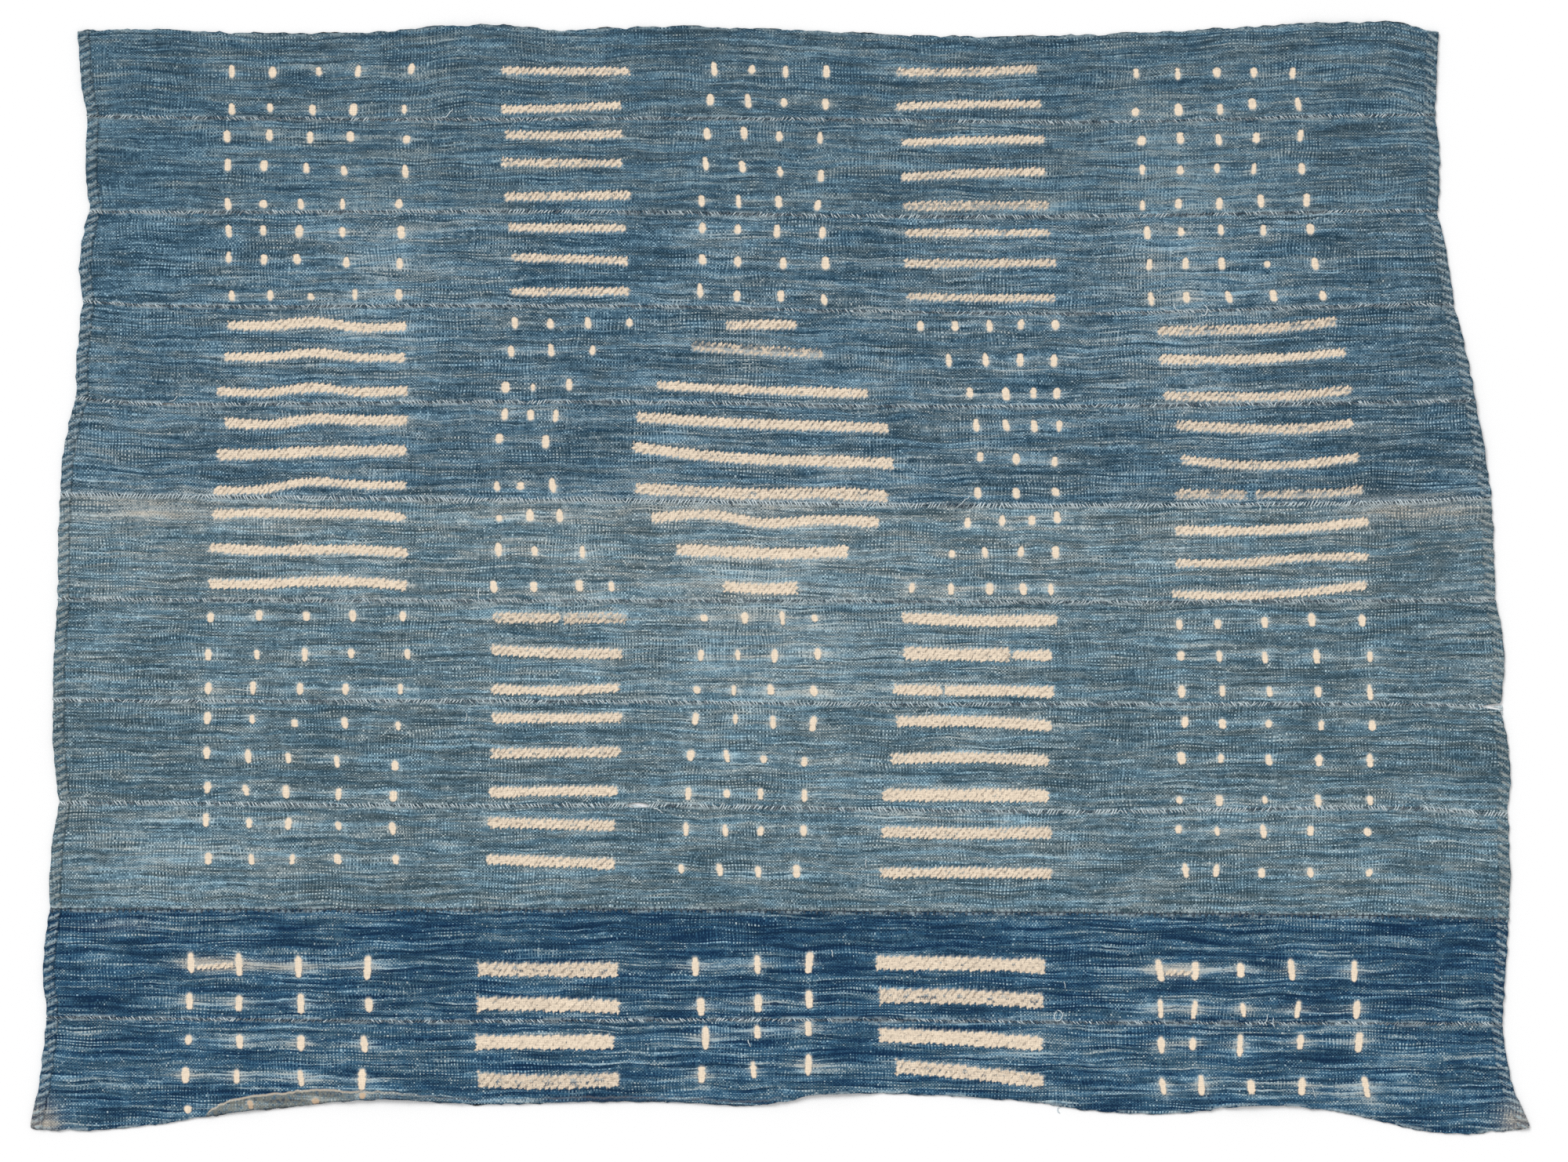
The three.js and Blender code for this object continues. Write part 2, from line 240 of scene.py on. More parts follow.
# Loose threads: where each starts on the chart, the way it first runs in degrees, how long it is in
# millimetres, and how many turns it makes.
LOOSE = [
    (1352, 1288, 190, 34, 0.9), (1530, 398, 300, 20, 0.6), (1510, 396, 200, 16, -0.3),
    (1215, 650, 5, 26, 0.1), (613, 748, 265, 15, 0.1), (590, 920, 20, 12, 0.3),
    (1605, 1304, 350, 16, 0.4), (1624, 1296, 268, 12, 0.05), (1355, 1413, 160, 12, 0.5),
    (1105, 1094, 272, 11, 0.0), (955, 1324, 268, 10, 0.1), (1060, 1210, 275, 9, 0.0),
    (1675, 1385, 262, 13, 0.1), (1357, 1250, 270, 9, 0.0), (955, 518, 40, 14, 0.8),
    (600, 146, 280, 10, 0.1), (560, 151, 10, 20, 0.1), (742, 1022, 5, 12, 0.2),
    (1186, 904, 200, 13, 0.3), (1833, 688, 300, 3, 0.0), (215, 512, 350, 12, 0.2),
    (1495, 398, 175, 14, -0.1), (832, 1029, 350, 14, -0.1),
]

# The dye of each strip, and how much paler it came out than others of that dye.
STRIPS = {
    "strip_01": ("slate", 0.0), "strip_02": ("slate", 0.04), "strip_03": ("mid", -0.01),
    "strip_04": ("mid", 0.0), "strip_05": ("mid", 0.0), "strip_06": ("faded", -0.04),
    "strip_07": ("pale", -0.02), "strip_08": ("pale", -0.08), "strip_09": ("pale", -0.04),
    "strip_10": ("dark", -0.11), "strip_11": ("dark", -0.04),
}

# How each seam is sewn, from the uppermost down: how far a stitch reaches to each side of it in millimetres,
# how pale its thread is, and what share of its stitches show pale. The others are dark thread, which also
# stands in for painted shade between the pale stitches. With a paleness of 0, it is sewn in beads of dark
# thread.
SEAMS = [
    (2.2, 0.85, 0.55), (2.5, 0.9, 0.65), (2.2, 0.85, 0.6), (2.5, 0.9, 0.65), (3.2, 1.0, 0.95),
    (2.5, 0.85, 0.65), (2.6, 0.95, 0.7), (2.9, 1.0, 0.75), (2.6, 0.0, 0.0), (2.0, 0.95, 0.35),
]


def tone(red, green, blue):
    """A tone given in the 0 to 255 steps of a colour card, as the light it gives off."""
    def light(step):
        share = step / 255
        return share / 12.92 if share <= 0.04045 else ((share + 0.055) / 1.055) ** 2.4
    return tuple(light(step) for step in (red, green, blue))


def length(label, note, millimetres):
    return FloatProperty(name=label, description=note, default=millimetres * MM, min=0.0, unit="LENGTH",
                         precision=4)


def colour(label, note, *steps):
    return FloatVectorProperty(name=label, description=note, default=tone(*steps), size=3, min=0.0, max=1.0,
                               subtype="COLOR")


class IndigoClothSizes(bpy.types.PropertyGroup):
    thickness: length("Cloth thickness", "Thickness of one layer of the cloth", 1.2)
    hem_rise: length("Hem rise", "How much thicker the turned hems are", 1.4)
    hem_width: length("Hem width", "Width of the turned hems at the strips' ends", 11.5)
    column_step: length("Column step", "Spacing of the cloth's points along a strip", 4)
    row_step: length("Row step", "Spacing of the cloth's points across a strip", 4.6)
    cockle: length("Cockling", "Height of the soft cockles all over the cloth", 0.7)
    pucker: length("Seam pucker", "Height of the small puckers beside the seams", 0.45)
    warp_pitch: length("Warp spacing", "Spacing of the threads that run along a strip", 1.68)
    weft_pitch: length("Weft spacing", "Spacing of the threads that run across a strip", 1.75)
    stitch_step: length("Seam stitch spacing", "Spacing of the stitches that join two strips", 3.4)
    hem_stitch_step: length("Hem stitch spacing", "Spacing of the stitches along a hem", 9.0)
    sewing_thread: length("Sewing thread", "Thickness of the sewing thread", 1.3)


class IndigoClothColours(bpy.types.PropertyGroup):
    slate_deep: colour("Slate blue, deep", "Deepest threads of strips 1 and 2", 38, 62, 77)
    slate_middle: colour("Slate blue, middle", "Usual threads of strips 1 and 2", 84, 109, 123)
    slate_pale: colour("Slate blue, pale", "Palest threads of strips 1 and 2", 154, 172, 178)
    mid_deep: colour("Mid blue, deep", "Deepest threads of strips 3 to 5", 33, 60, 76)
    mid_middle: colour("Mid blue, middle", "Usual threads of strips 3 to 5", 91, 116, 130)
    mid_pale: colour("Mid blue, pale", "Palest threads of strips 3 to 5", 172, 188, 194)
    faded_deep: colour("Faded blue, deep", "Deepest threads of strip 6", 56, 78, 88)
    faded_middle: colour("Faded blue, middle", "Usual threads of strip 6", 117, 136, 144)
    faded_pale: colour("Faded blue, pale", "Palest threads of strip 6", 196, 208, 209)
    pale_deep: colour("Pale blue, deep", "Deepest threads of strips 7 to 9", 48, 71, 82)
    pale_middle: colour("Pale blue, middle", "Usual threads of strips 7 to 9", 106, 128, 138)
    pale_pale: colour("Pale blue, pale", "Palest threads of strips 7 to 9", 185, 202, 206)
    dark_deep: colour("Dark indigo, deep", "Deepest threads of strips 10 and 11", 12, 44, 72)
    dark_middle: colour("Dark indigo, middle", "Usual threads of strips 10 and 11", 60, 98, 121)
    dark_pale: colour("Dark indigo, pale", "Palest threads of strips 10 and 11", 172, 190, 196)
    undyed: colour("Undyed cotton", "Cotton that the dye didn't reach", 246, 228, 204)
    hem_grey: colour("Hem grey", "Worn cotton of the hems and of the reverse", 130, 128, 115)
    pale_thread: colour("Pale sewing thread", "Thread of the pale seams", 216, 229, 233)
    dark_thread: colour("Dark sewing thread", "Thread of the hems and of the dark seam", 30, 54, 74)
    floor: colour("Floor", "The pale floor", 252, 252, 252)


def sizes():
    return bpy.context.scene.indigo_cloth_sizes


def colours():
    return bpy.context.scene.indigo_cloth_colours


# Shapes, all in millimetres until a mesh is made.

def soft_waves(seed, shortest, longest, count=26, flat=1.0):
    """An uneven height over the cloth, about -1 to 1, made of waves of every direction.

    A flat below 1 turns them to run across the strips."""
    random = np.random.default_rng(seed)
    turn = random.uniform(0, 2 * np.pi, count)
    size = np.exp(random.uniform(np.log(shortest), np.log(longest), count))
    along = np.cos(turn) * 2 * np.pi / size
    across = np.sin(turn) * 2 * np.pi / size * flat
    shift = random.uniform(0, 2 * np.pi, count)
    strength = np.sqrt(2.0 / count) * 0.6

    def height(x, y):
        total = np.zeros(np.broadcast(x, y).shape)
        for k in range(count):
            total += np.sin(along[k] * x + across[k] * y + shift[k])
        return total * strength
    return height


def smooth_line(xs, ys):
    """A smooth curve through points in order of x, level beyond them."""
    xs = np.asarray(xs, float)
    ys = np.asarray(ys, float)
    slopes = np.gradient(ys, xs)

    def height(x):
        x = np.clip(x, xs[0], xs[-1])
        k = np.clip(np.searchsorted(xs, x) - 1, 0, len(xs) - 2)
        span = xs[k + 1] - xs[k]
        t = (x - xs[k]) / span
        return ((1 + 2 * t) * (1 - t) ** 2 * ys[k] + t * (1 - t) ** 2 * span * slopes[k]
                + t * t * (3 - 2 * t) * ys[k + 1] + t * t * (t - 1) * span * slopes[k + 1])
    return height


def strip_outline(node):
    """The upper line, the lower line, the left end and the right end of a strip's solid, each as points."""
    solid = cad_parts[node]
    places = {}
    following = {}
    edges = set()
    for face in solid.data.polygons:
        if (solid.matrix_world.to_3x3() @ face.normal).z < 0.5:
            continue
        keys = []
        for corner in face.vertices:
            place = solid.matrix_world @ solid.data.vertices[corner].co / MM
            key = (round(place.x * 20), round(place.y * 20))
            places[key] = (place.x, place.y)
            keys.append(key)
        edges.update(zip(keys, keys[1:] + keys[:1]))
    for start, end in edges:
        if (end, start) not in edges:
            following[start] = end
    loop = [next(iter(sorted(following)))]
    while following[loop[-1]] != loop[0]:
        loop.append(following[loop[-1]])
    points = np.array([places[key] for key in loop])
    if len(loop) != len(following):
        raise RuntimeError(f"{node} has more than one outline")

    def corner(along, across):
        return int(np.argmax(points @ np.array([along, across])))
    upper_right, upper_left = corner(1, 1), corner(-1, 1)
    lower_left, lower_right = corner(-1, -1), corner(1, -1)

    def stretch(start, end):
        run = [start]
        while run[-1] != end:
            run.append((run[-1] + 1) % len(points))
        return points[run]
    return (stretch(upper_right, upper_left)[::-1], stretch(lower_left, lower_right),
            stretch(upper_left, lower_left), stretch(lower_right, upper_right)[::-1])


def lift(x, y):
    """How far the cloth is lifted off the floor by the soft rises."""
    total = np.zeros(np.broadcast(x, y).shape)
    for middle_x, middle_y, turn, reach, width, height in RISES:
        turn = math.radians(turn)
        along = ((x - middle_x) * math.cos(turn) + (y - middle_y) * math.sin(turn)) / reach
        across = ((y - middle_y) * math.cos(turn) - (x - middle_x) * math.sin(turn)) / width
        total += height * np.clip(1 - along ** 2, 0, 1) ** 2 * np.clip(1 - across ** 2, 0, 1) ** 2
    return total


cockles = soft_waves(11, 45, 150)
fine_cockles = soft_waves(12, 14, 40)
puckers = soft_waves(13, 7, 24, flat=0.4)
frayed = soft_waves(14, 5, 30)
slow = soft_waves(15, 60, 260)


def fold_width(x):
    return np.interp(x, [row[0] for row in FOLD], [row[1] for row in FOLD], left=0, right=0)


def fold_bareness(x):
    return np.interp(x, [row[0] for row in FOLD], [row[2] for row in FOLD])


def across_chart(column):
    return (column - CHART_MIDDLE[0]) * CHART_SQUARE


def up_chart(height):
    return (CHART_MIDDLE[1] - height) * CHART_SQUARE


class Strip:
    """One strip's grid of points: rows from the upper line to the lower one, columns from left to right."""

    def __init__(self, number):
        self.number = number
        self.name = f"strip_{number:02d}"
        self.upper, self.lower, self.left, self.right = strip_outline(self.name)
        self.upper_line = smooth_line(self.upper[:, 0], self.upper[:, 1])
        self.lower_line = smooth_line(self.lower[:, 0], self.lower[:, 1])
        self.is_first = number == 1
        self.is_last = number == STRIP_COUNT
        self.width = float(np.mean(self.upper[:, 1]) - np.mean(self.lower[:, 1]))
        self.length = float(np.mean(self.right[:, 0]) - np.mean(self.left[:, 0]))
        self.set_rows()
        self.set_columns()
        self.lay_out()
        self.note_distances()
        self.raise_cloth()

    def set_rows(self):
        """The rows, close together beside the selvedges and on the turned-up edge."""
        edge = SIDE_ROWS[-1]
        cells = max(4, round((self.width - 2 * edge) / (sizes().row_step / MM)))
        middle = np.linspace(edge, self.width - edge, cells + 1)[1:-1]
        self.rows = [("upper", v) for v in SIDE_ROWS]
        if self.is_last:
            self.rows += [("share", v / self.width) for v in middle if v < self.width - FOLD_ROOM]
            self.rows += [("fold", v) for v in FOLD_ROWS]
        else:
            self.rows += [("share", v / self.width) for v in middle]
            self.rows += [("lower", v) for v in SIDE_ROWS[::-1]]

    def set_columns(self):
        """The columns, close together beside the ends and the hems' stitches."""
        hem = sizes().hem_width / MM
        near_end = [0, 0.35, 1.0, 2.2, 4.5, 7.5, 10.5, hem - 0.8, hem, hem + 0.7, hem + 1.8, hem + 4]
        self.hem_reach = near_end[-1]
        count = round((self.length - 2 * self.hem_reach) / (sizes().column_step / MM))
        self.columns = [("left", v) for v in near_end]
        self.columns += [("share", v) for v in np.linspace(0, 1, count + 1)[1:-1]]
        self.columns += [("right", v) for v in near_end[::-1]]

    def lay_out(self):
        """The points in plan, between the outline's lines and its ends, which are a little frayed."""
        left_end = smooth_line(self.left[::-1, 1], self.left[::-1, 0])
        right_end = smooth_line(self.right[::-1, 1], self.right[::-1, 0])
        self.shape = (len(self.rows), len(self.columns))
        self.x = np.zeros(self.shape)
        self.y = np.zeros(self.shape)
        for j, (kind, value) in enumerate(self.rows):
            share = self.share_down(kind, value)
            left_y = (1 - share) * self.left[0, 1] + share * self.left[-1, 1]
            right_y = (1 - share) * self.right[0, 1] + share * self.right[-1, 1]
            start, end = float(left_end(left_y)), float(right_end(right_y))
            start += 0.8 * float(frayed(self.number * 37.0, left_y * 1.2))
            end += 0.8 * float(frayed(self.number * 71.0 + 400, left_y * 1.2))
            sway_left = 1 + 0.07 * float(frayed(start * 3, left_y))
            sway_right = 1 + 0.07 * float(frayed(end * 3, left_y))
            first, last = start + self.hem_reach * sway_left, end - self.hem_reach * sway_right
            for i, (side, along) in enumerate(self.columns):
                if side == "left":
                    self.x[j, i] = start + along * sway_left
                elif side == "right":
                    self.x[j, i] = end - along * sway_right
                else:
                    self.x[j, i] = first * (1 - along) + last * along
            self.y[j] = self.row_places(kind, value, self.x[j])

    def share_down(self, kind, value):
        """How far down the strip's ends a row lies, from 0 to 1."""
        if kind == "upper":
            return value / self.width
        if kind == "lower":
            return 1 - value / self.width
        if kind == "fold":
            return 1 - (LEAST_FOLD + (value if value > 0 else LEAST_FOLD * value)) / self.width
        return value

    def row_places(self, kind, value, x):
        """The places of a row's points across the cloth."""
        top, bottom = self.upper_line(x), self.lower_line(x)
        if self.is_first:
            top = top + 0.6 * frayed(x, 900) + 1.1 * frayed(x * 0.4, 960)
        else:
            top = top - self.opening(x, self.number - 1)
        if self.is_last:
            bottom = bottom + 0.6 * frayed(x, -900) + 0.7 * frayed(x * 0.4, -960)
        else:
            bottom = bottom + self.opening(x, self.number)
        if kind == "upper":
            return top - value
        if kind == "lower":
            return bottom + value
        if kind == "share":
            return top + (bottom - top) * value
        turned = fold_width(x)
        turned = np.where(turned > 2, turned * (1 + 0.03 * frayed(x, 50)), turned)
        reach = np.maximum(turned, LEAST_FOLD)
        return bottom + (reach * (1 + value) if value <= 0 else reach + value)

    def note_distances(self):
        """How far each point is from the lines, the ends and the fold, and which are on a hem or the fold."""
        hem = sizes().hem_width / MM
        self.from_upper = np.maximum(0, self.upper_line(self.x) - self.y)
        self.from_lower = np.maximum(0, self.y - self.lower_line(self.x))
        self.from_end = np.minimum(self.x - self.x[:, :1], self.x[:, -1:] - self.x)
        on_hem = np.array([side != "share" and along <= hem + 0.01 for side, along in self.columns])
        self.hem = np.broadcast_to(on_hem.astype(float), self.shape).copy()
        self.fold = np.zeros(self.shape)
        self.from_fold = np.full(self.shape, 50.0)
        self.bareness = np.ones(self.shape)
        for j, (kind, value) in enumerate(self.rows):
            if kind == "fold":
                turned = fold_width(self.x[j])
                self.fold[j] = (turned > 2.5) * float(value <= 0)
                self.bareness[j] = fold_bareness(self.x[j])
                self.from_fold[j] = np.where(turned > 2.5, value if value > 0 else value * turned, 50.0)

    @staticmethod
    def opening(x, seam):
        total = np.zeros_like(x)
        for number, middle, half, wide in OPENINGS:
            if number == seam:
                total += 0.5 * wide * np.clip(1 - ((x - middle) / half) ** 2, 0, 1)
        return total

    def raise_cloth(self):
        """The heights of the face, the underside and the middle between them."""
        size = sizes()
        x, y = self.x, self.y
        seam = np.full(self.shape, 1e3)
        if not self.is_first:
            seam = np.minimum(seam, self.from_upper)
        if not self.is_last:
            seam = np.minimum(seam, self.from_lower)
        ground = lift(x, y) + REST_HEIGHT
        ground += size.cockle / MM * (cockles(x, y) + 0.35 * fine_cockles(x, y))
        ground += size.pucker / MM * puckers(x, y) * (0.25 + np.exp(-seam / 9.0))
        ground += 0.5 * np.exp(-(seam / 3.5) ** 2)
        rim = np.minimum(self.from_upper, self.from_lower)
        layer = size.thickness / MM
        doubled = np.maximum(self.hem, self.fold)
        round_side = np.sqrt(np.clip(1 - (1 - np.clip(rim / (0.8 * layer), 0, 1)) ** 2, 0, 1))
        round_end = np.sqrt(np.clip(1 - (1 - np.clip(self.from_end / 1.2, 0, 1)) ** 2, 0, 1))
        rounding = np.minimum(round_side, round_end)
        rounding[0, :] = rounding[-1, :] = rounding[:, 0] = rounding[:, -1] = 0
        half = 0.5 * layer
        self.middle = np.maximum(REST_HEIGHT, ground) + half
        self.top = self.middle + rounding * (half + size.hem_rise / MM * doubled)
        self.bottom = self.middle - rounding * half


# Marks on the cloth.

def charted_marks():
    """Every bar and dot: its curve, half length, half height, how far dye crept in, and its kind."""
    random = np.random.default_rng(5)
    marks = []
    for bar_height, bars in BARS:
        for left, right, heights, crept in bars:
            tall = bar_height > TALL_BAR
            start, end = across_chart(left), across_chart(right)
            line = smooth_line(np.linspace(start, end, len(heights)), [up_chart(h) for h in heights])
            half_height = bar_height * CHART_SQUARE / 2 * (1 + 0.07 * random.standard_normal())
            marks.append({"x": (start + end) / 2, "line": line, "half": (end - start) / 2,
                          "height": half_height, "crept": crept, "tall": tall, "bar": True, "lean": 0.0,
                          "seed": random.random()})
    for first, last, places in DOTS:
        tall = first > DARK_LINE
        count = len(places)
        for k, place in enumerate(places):
            share = k / max(1, count - 1)
            height = up_chart(first * (1 - share) + last * share) + 0.7 * random.standard_normal()
            usual = next(half for line, half in DOT_HEIGHTS if first > line)
            half_height = usual * (1 + 0.14 * random.standard_normal())
            half_width = (3.2 if tall else 3.0) * (1 + 0.12 * random.standard_normal())
            middle = across_chart(place)
            dull = 0.25 if first < DULL_LINE else 0.0
            marks.append({"x": middle, "line": smooth_line([middle - 1, middle + 1], [height, height]),
                          "half": half_width, "height": half_height, "crept": dull + 0.1 * random.random(),
                          "tall": tall, "bar": False, "lean": 0.07 * random.standard_normal() + 0.03,
                          "seed": random.random()})
    for mark in marks:
        if mark["bar"] and mark["tall"]:
            mark["seed"] += DARK_SEED
        elif mark["line"](mark["x"]) > 0:
            mark["seed"] += UPPER_SEED
    return marks


def mark_offsets(mark, x, y):
    """How far places are from a mark's middle, along it and across it."""
    across = y - mark["line"](x)
    along = x - mark["x"] + mark["lean"] * across
    return along, across


def mark_distance(mark, x, y):
    """How far places are outside a mark, or below 0 where they are inside it."""
    along, across = mark_offsets(mark, x, y)
    out_along = np.abs(along) - mark["half"]
    out_across = np.abs(across) - mark["height"]
    outside = np.hypot(np.maximum(out_along, 0), np.maximum(out_across, 0))
    return outside + np.minimum(np.maximum(out_along, out_across), 0)


def haze(marks, x, y):
    """Where the dye is weak around the marks: pale streaks off their ends, and between dots of one line."""
    total = np.zeros(x.shape)
    for mark in marks:
        share = 0.6 + 0.9 * abs(mark["seed"] % 1)
        along, across = mark_offsets(mark, x, y)
        beyond = np.maximum(np.abs(along) - mark["half"], 0)
        if mark["tall"] and not mark["bar"]:
            glow = 0.95 * np.exp(-beyond / (9 * share))
            streak = 0.45 * share * np.exp(-beyond / (24 * share))
            wide = mark["height"] * (0.50 + 0.4 * np.exp(-beyond / 4.0))
            total += glow * np.exp(-(across / wide) ** 2) + streak * np.exp(-(across / 4.5) ** 2)
            continue
        reach = (26 if mark["bar"] else 15) * share
        strength = 0.5 if mark["bar"] else 0.42 if mark["crept"] > 0.2 else 0.62
        near = np.exp(-beyond / reach)
        thin = mark["height"] * (0.34 + 0.6 * np.exp(-beyond / 5.0))
        total += strength * near * np.exp(-(across / thin) ** 2) * (beyond < 4 * reach)
        if not mark["bar"]:
            total += 0.5 * np.exp(-beyond / 3.5) * np.exp(-(across / (0.55 * mark["height"])) ** 2)
    return np.minimum(total, 1.0)


def patch_tones(x, y):
    """How much paler and warmer the faded and deep areas make the dye."""
    paler = np.zeros(x.shape)
    warmer = np.zeros(x.shape)
    for column, height, reach, width, pale, warm in PATCHES:
        near = np.exp(-((x - across_chart(column)) / (reach * CHART_SQUARE)) ** 2
                      - ((y - up_chart(height)) / (width * CHART_SQUARE)) ** 2)
        paler += pale * near
        warmer += warm * near
    return paler, warmer


def strip_mesh(strip, marks):
    """The closed sheet of one strip, with what its cloth's finish reads: threads, marks, haze and wear."""
    height, width = strip.shape
    count = height * width
    top_index = np.arange(count).reshape(height, width)
    bottom_index = top_index.copy()
    inner = np.zeros(strip.shape, bool)
    inner[1:-1, 1:-1] = True
    bottom_index[inner] = count + np.arange(inner.sum())
    x, y = strip.x, strip.y
    top_z = np.where(inner, strip.top, strip.middle)
    places = np.concatenate([np.stack([x.ravel(), y.ravel(), top_z.ravel()], 1),
                             np.stack([x[inner], y[inner], strip.bottom[inner]], 1)]) * MM
    a, b = np.s_[:-1, :-1], np.s_[:-1, 1:]
    c, d = np.s_[1:, 1:], np.s_[1:, :-1]

    def faces(index, order):
        return np.stack([index[part].ravel() for part in order], 1)
    top_faces = faces(top_index, (a, d, c, b))
    bottom_faces = faces(bottom_index, (a, b, c, d))
    grid_corners = np.concatenate([top_faces, faces(top_index, (a, b, c, d))])
    mesh = bpy.data.meshes.new(strip.name + "_cloth")
    mesh.from_pydata(places.tolist(), [], np.concatenate([top_faces, bottom_faces]).tolist())
    mesh.validate()
    mesh.shade_smooth()

    corners = grid_corners.ravel()
    thread = mesh.uv_layers.new(name="Thread")
    along = (x + strip.number * THREAD_SHIFT).ravel()[corners]
    thread.data.foreach_set("uv", np.stack([along, strip.from_upper.ravel()[corners]], 1).ravel())
    bake = mesh.uv_layers.new(name="OFBake")
    bake.data.foreach_set("uv", bake_places(strip).ravel())
    face_x, face_y = x.ravel()[grid_corners], y.ravel()[grid_corners]
    low, high = face_y.mean(1).min() - NEAR_MARK, face_y.mean(1).max() + NEAR_MARK
    near = [mark for mark in marks if low < float(mark["line"](mark["x"])) < high]
    note_marks(mesh, near, face_x, face_y)
    note_wear(mesh, strip, near, inner)
    return mesh


def note_marks(mesh, near, x, y):
    """Writes on each face's corners where they lie in the mark nearest to the face, and that mark's size."""
    distances = np.stack([mark_distance(mark, x.mean(1), y.mean(1)) for mark in near])
    corner_mark = np.repeat(distances.argmin(0), 4)
    corner_x, corner_y = x.ravel(), y.ravel()
    mark_place = np.zeros((len(corner_mark), 3), np.float32)
    mark_size = np.zeros((len(corner_mark), 3), np.float32)
    for k, mark in enumerate(near):
        mine = corner_mark == k
        if mine.any():
            mark_place[mine, 0], mark_place[mine, 1] = mark_offsets(mark, corner_x[mine], corner_y[mine])
            mark_place[mine, 2] = mark["seed"] * SEED_SCALE
            mark_size[mine] = (mark["half"], mark["height"], mark["crept"])
    for name, values in (("mark_place", mark_place), ("mark_size", mark_size)):
        attribute = mesh.attributes.new(name, "FLOAT_VECTOR", "CORNER")
        attribute.data.foreach_set("vector", values.ravel())


def note_wear(mesh, strip, near, inner):
    """Writes on each point how faded, hazy and worn the cloth is. inner marks points with an underside."""
    paler, warmer = patch_tones(strip.x, strip.y)
    paler = paler + 0.16 * slow(strip.x, strip.y * 2) + STRIPS[strip.name][1] / 0.3
    values_by_name = {
        "paler": paler, "warmer": warmer, "haze": haze(near, strip.x, strip.y), "hem": strip.hem,
        "fold": strip.fold, "from_fold": strip.from_fold, "bareness": strip.bareness,
        "from_end": strip.from_end, "from_edge": np.minimum(strip.from_upper, strip.from_lower),
    }
    for name, values in values_by_name.items():
        attribute = mesh.attributes.new(name, "FLOAT", "POINT")
        both = np.concatenate([values.ravel(), values[inner]]).astype(np.float32)
        attribute.data.foreach_set("value", both)


def bake_places(strip):
    """A flat layout of a strip: its face in four lengths one above the other, its underside below them."""
    height, width = strip.shape
    lengths, tall, margin = 4, 0.2, 0.004
    column = np.arange(width - 1)
    part = np.minimum(column * lengths // (width - 1), lengths - 1)
    u_left = np.zeros(width - 1)
    u_right = np.zeros(width - 1)
    place = strip.x[height // 2]
    for k in range(lengths):
        mine = np.flatnonzero(part == k)
        low, high = place[mine[0]], place[mine[-1] + 1]
        u_left[mine] = margin + (1 - 2 * margin) * (place[mine] - low) / (high - low)
        u_right[mine] = margin + (1 - 2 * margin) * (place[mine + 1] - low) / (high - low)
    depth = strip.from_upper[:, width // 2]
    depth = margin + (tall - 2 * margin) * (depth - depth[0]) / (depth[-1] - depth[0])
    base = 0.2 + tall * part
    rows = np.arange(height - 1)
    v_up = base[None, :] + tall - depth[rows][:, None]
    v_down = base[None, :] + tall - depth[rows + 1][:, None]
    left = np.broadcast_to(u_left, v_up.shape)
    right = np.broadcast_to(u_right, v_up.shape)
    round_top = ((left, v_up), (left, v_down), (right, v_down), (right, v_up))
    top = np.stack([np.stack(pair, -1) for pair in round_top], 2)
    whole = margin + (1 - 2 * margin) * (place - place[0]) / (place[-1] - place[0])
    low = 0.18 - 0.9 * depth
    left = np.broadcast_to(whole[:-1], v_up.shape)
    right = np.broadcast_to(whole[1:], v_up.shape)
    up = np.broadcast_to(low[:-1][:, None], v_up.shape)
    down = np.broadcast_to(low[1:][:, None], v_up.shape)
    round_under = ((left, up), (right, up), (right, down), (left, down))
    under = np.stack([np.stack(pair, -1) for pair in round_under], 2)
    return np.concatenate([top.reshape(-1, 2), under.reshape(-1, 2)])


# Finishes.

class Wire:
    """An output of a node, so that sums and products of outputs can be written as such."""

    def __init__(self, recipe, socket):
        self.recipe = recipe
        self.socket = socket

    def __add__(self, other):
        return self.recipe.math("ADD", self, other)

    def __sub__(self, other):
        return self.recipe.math("SUBTRACT", self, other)

    def __mul__(self, other):
        return self.recipe.math("MULTIPLY", self, other)

    def __truediv__(self, other):
        return self.recipe.math("DIVIDE", self, other)

    __radd__ = __add__
    __rmul__ = __mul__

    def __rsub__(self, other):
        return self.recipe.math("SUBTRACT", other, self)


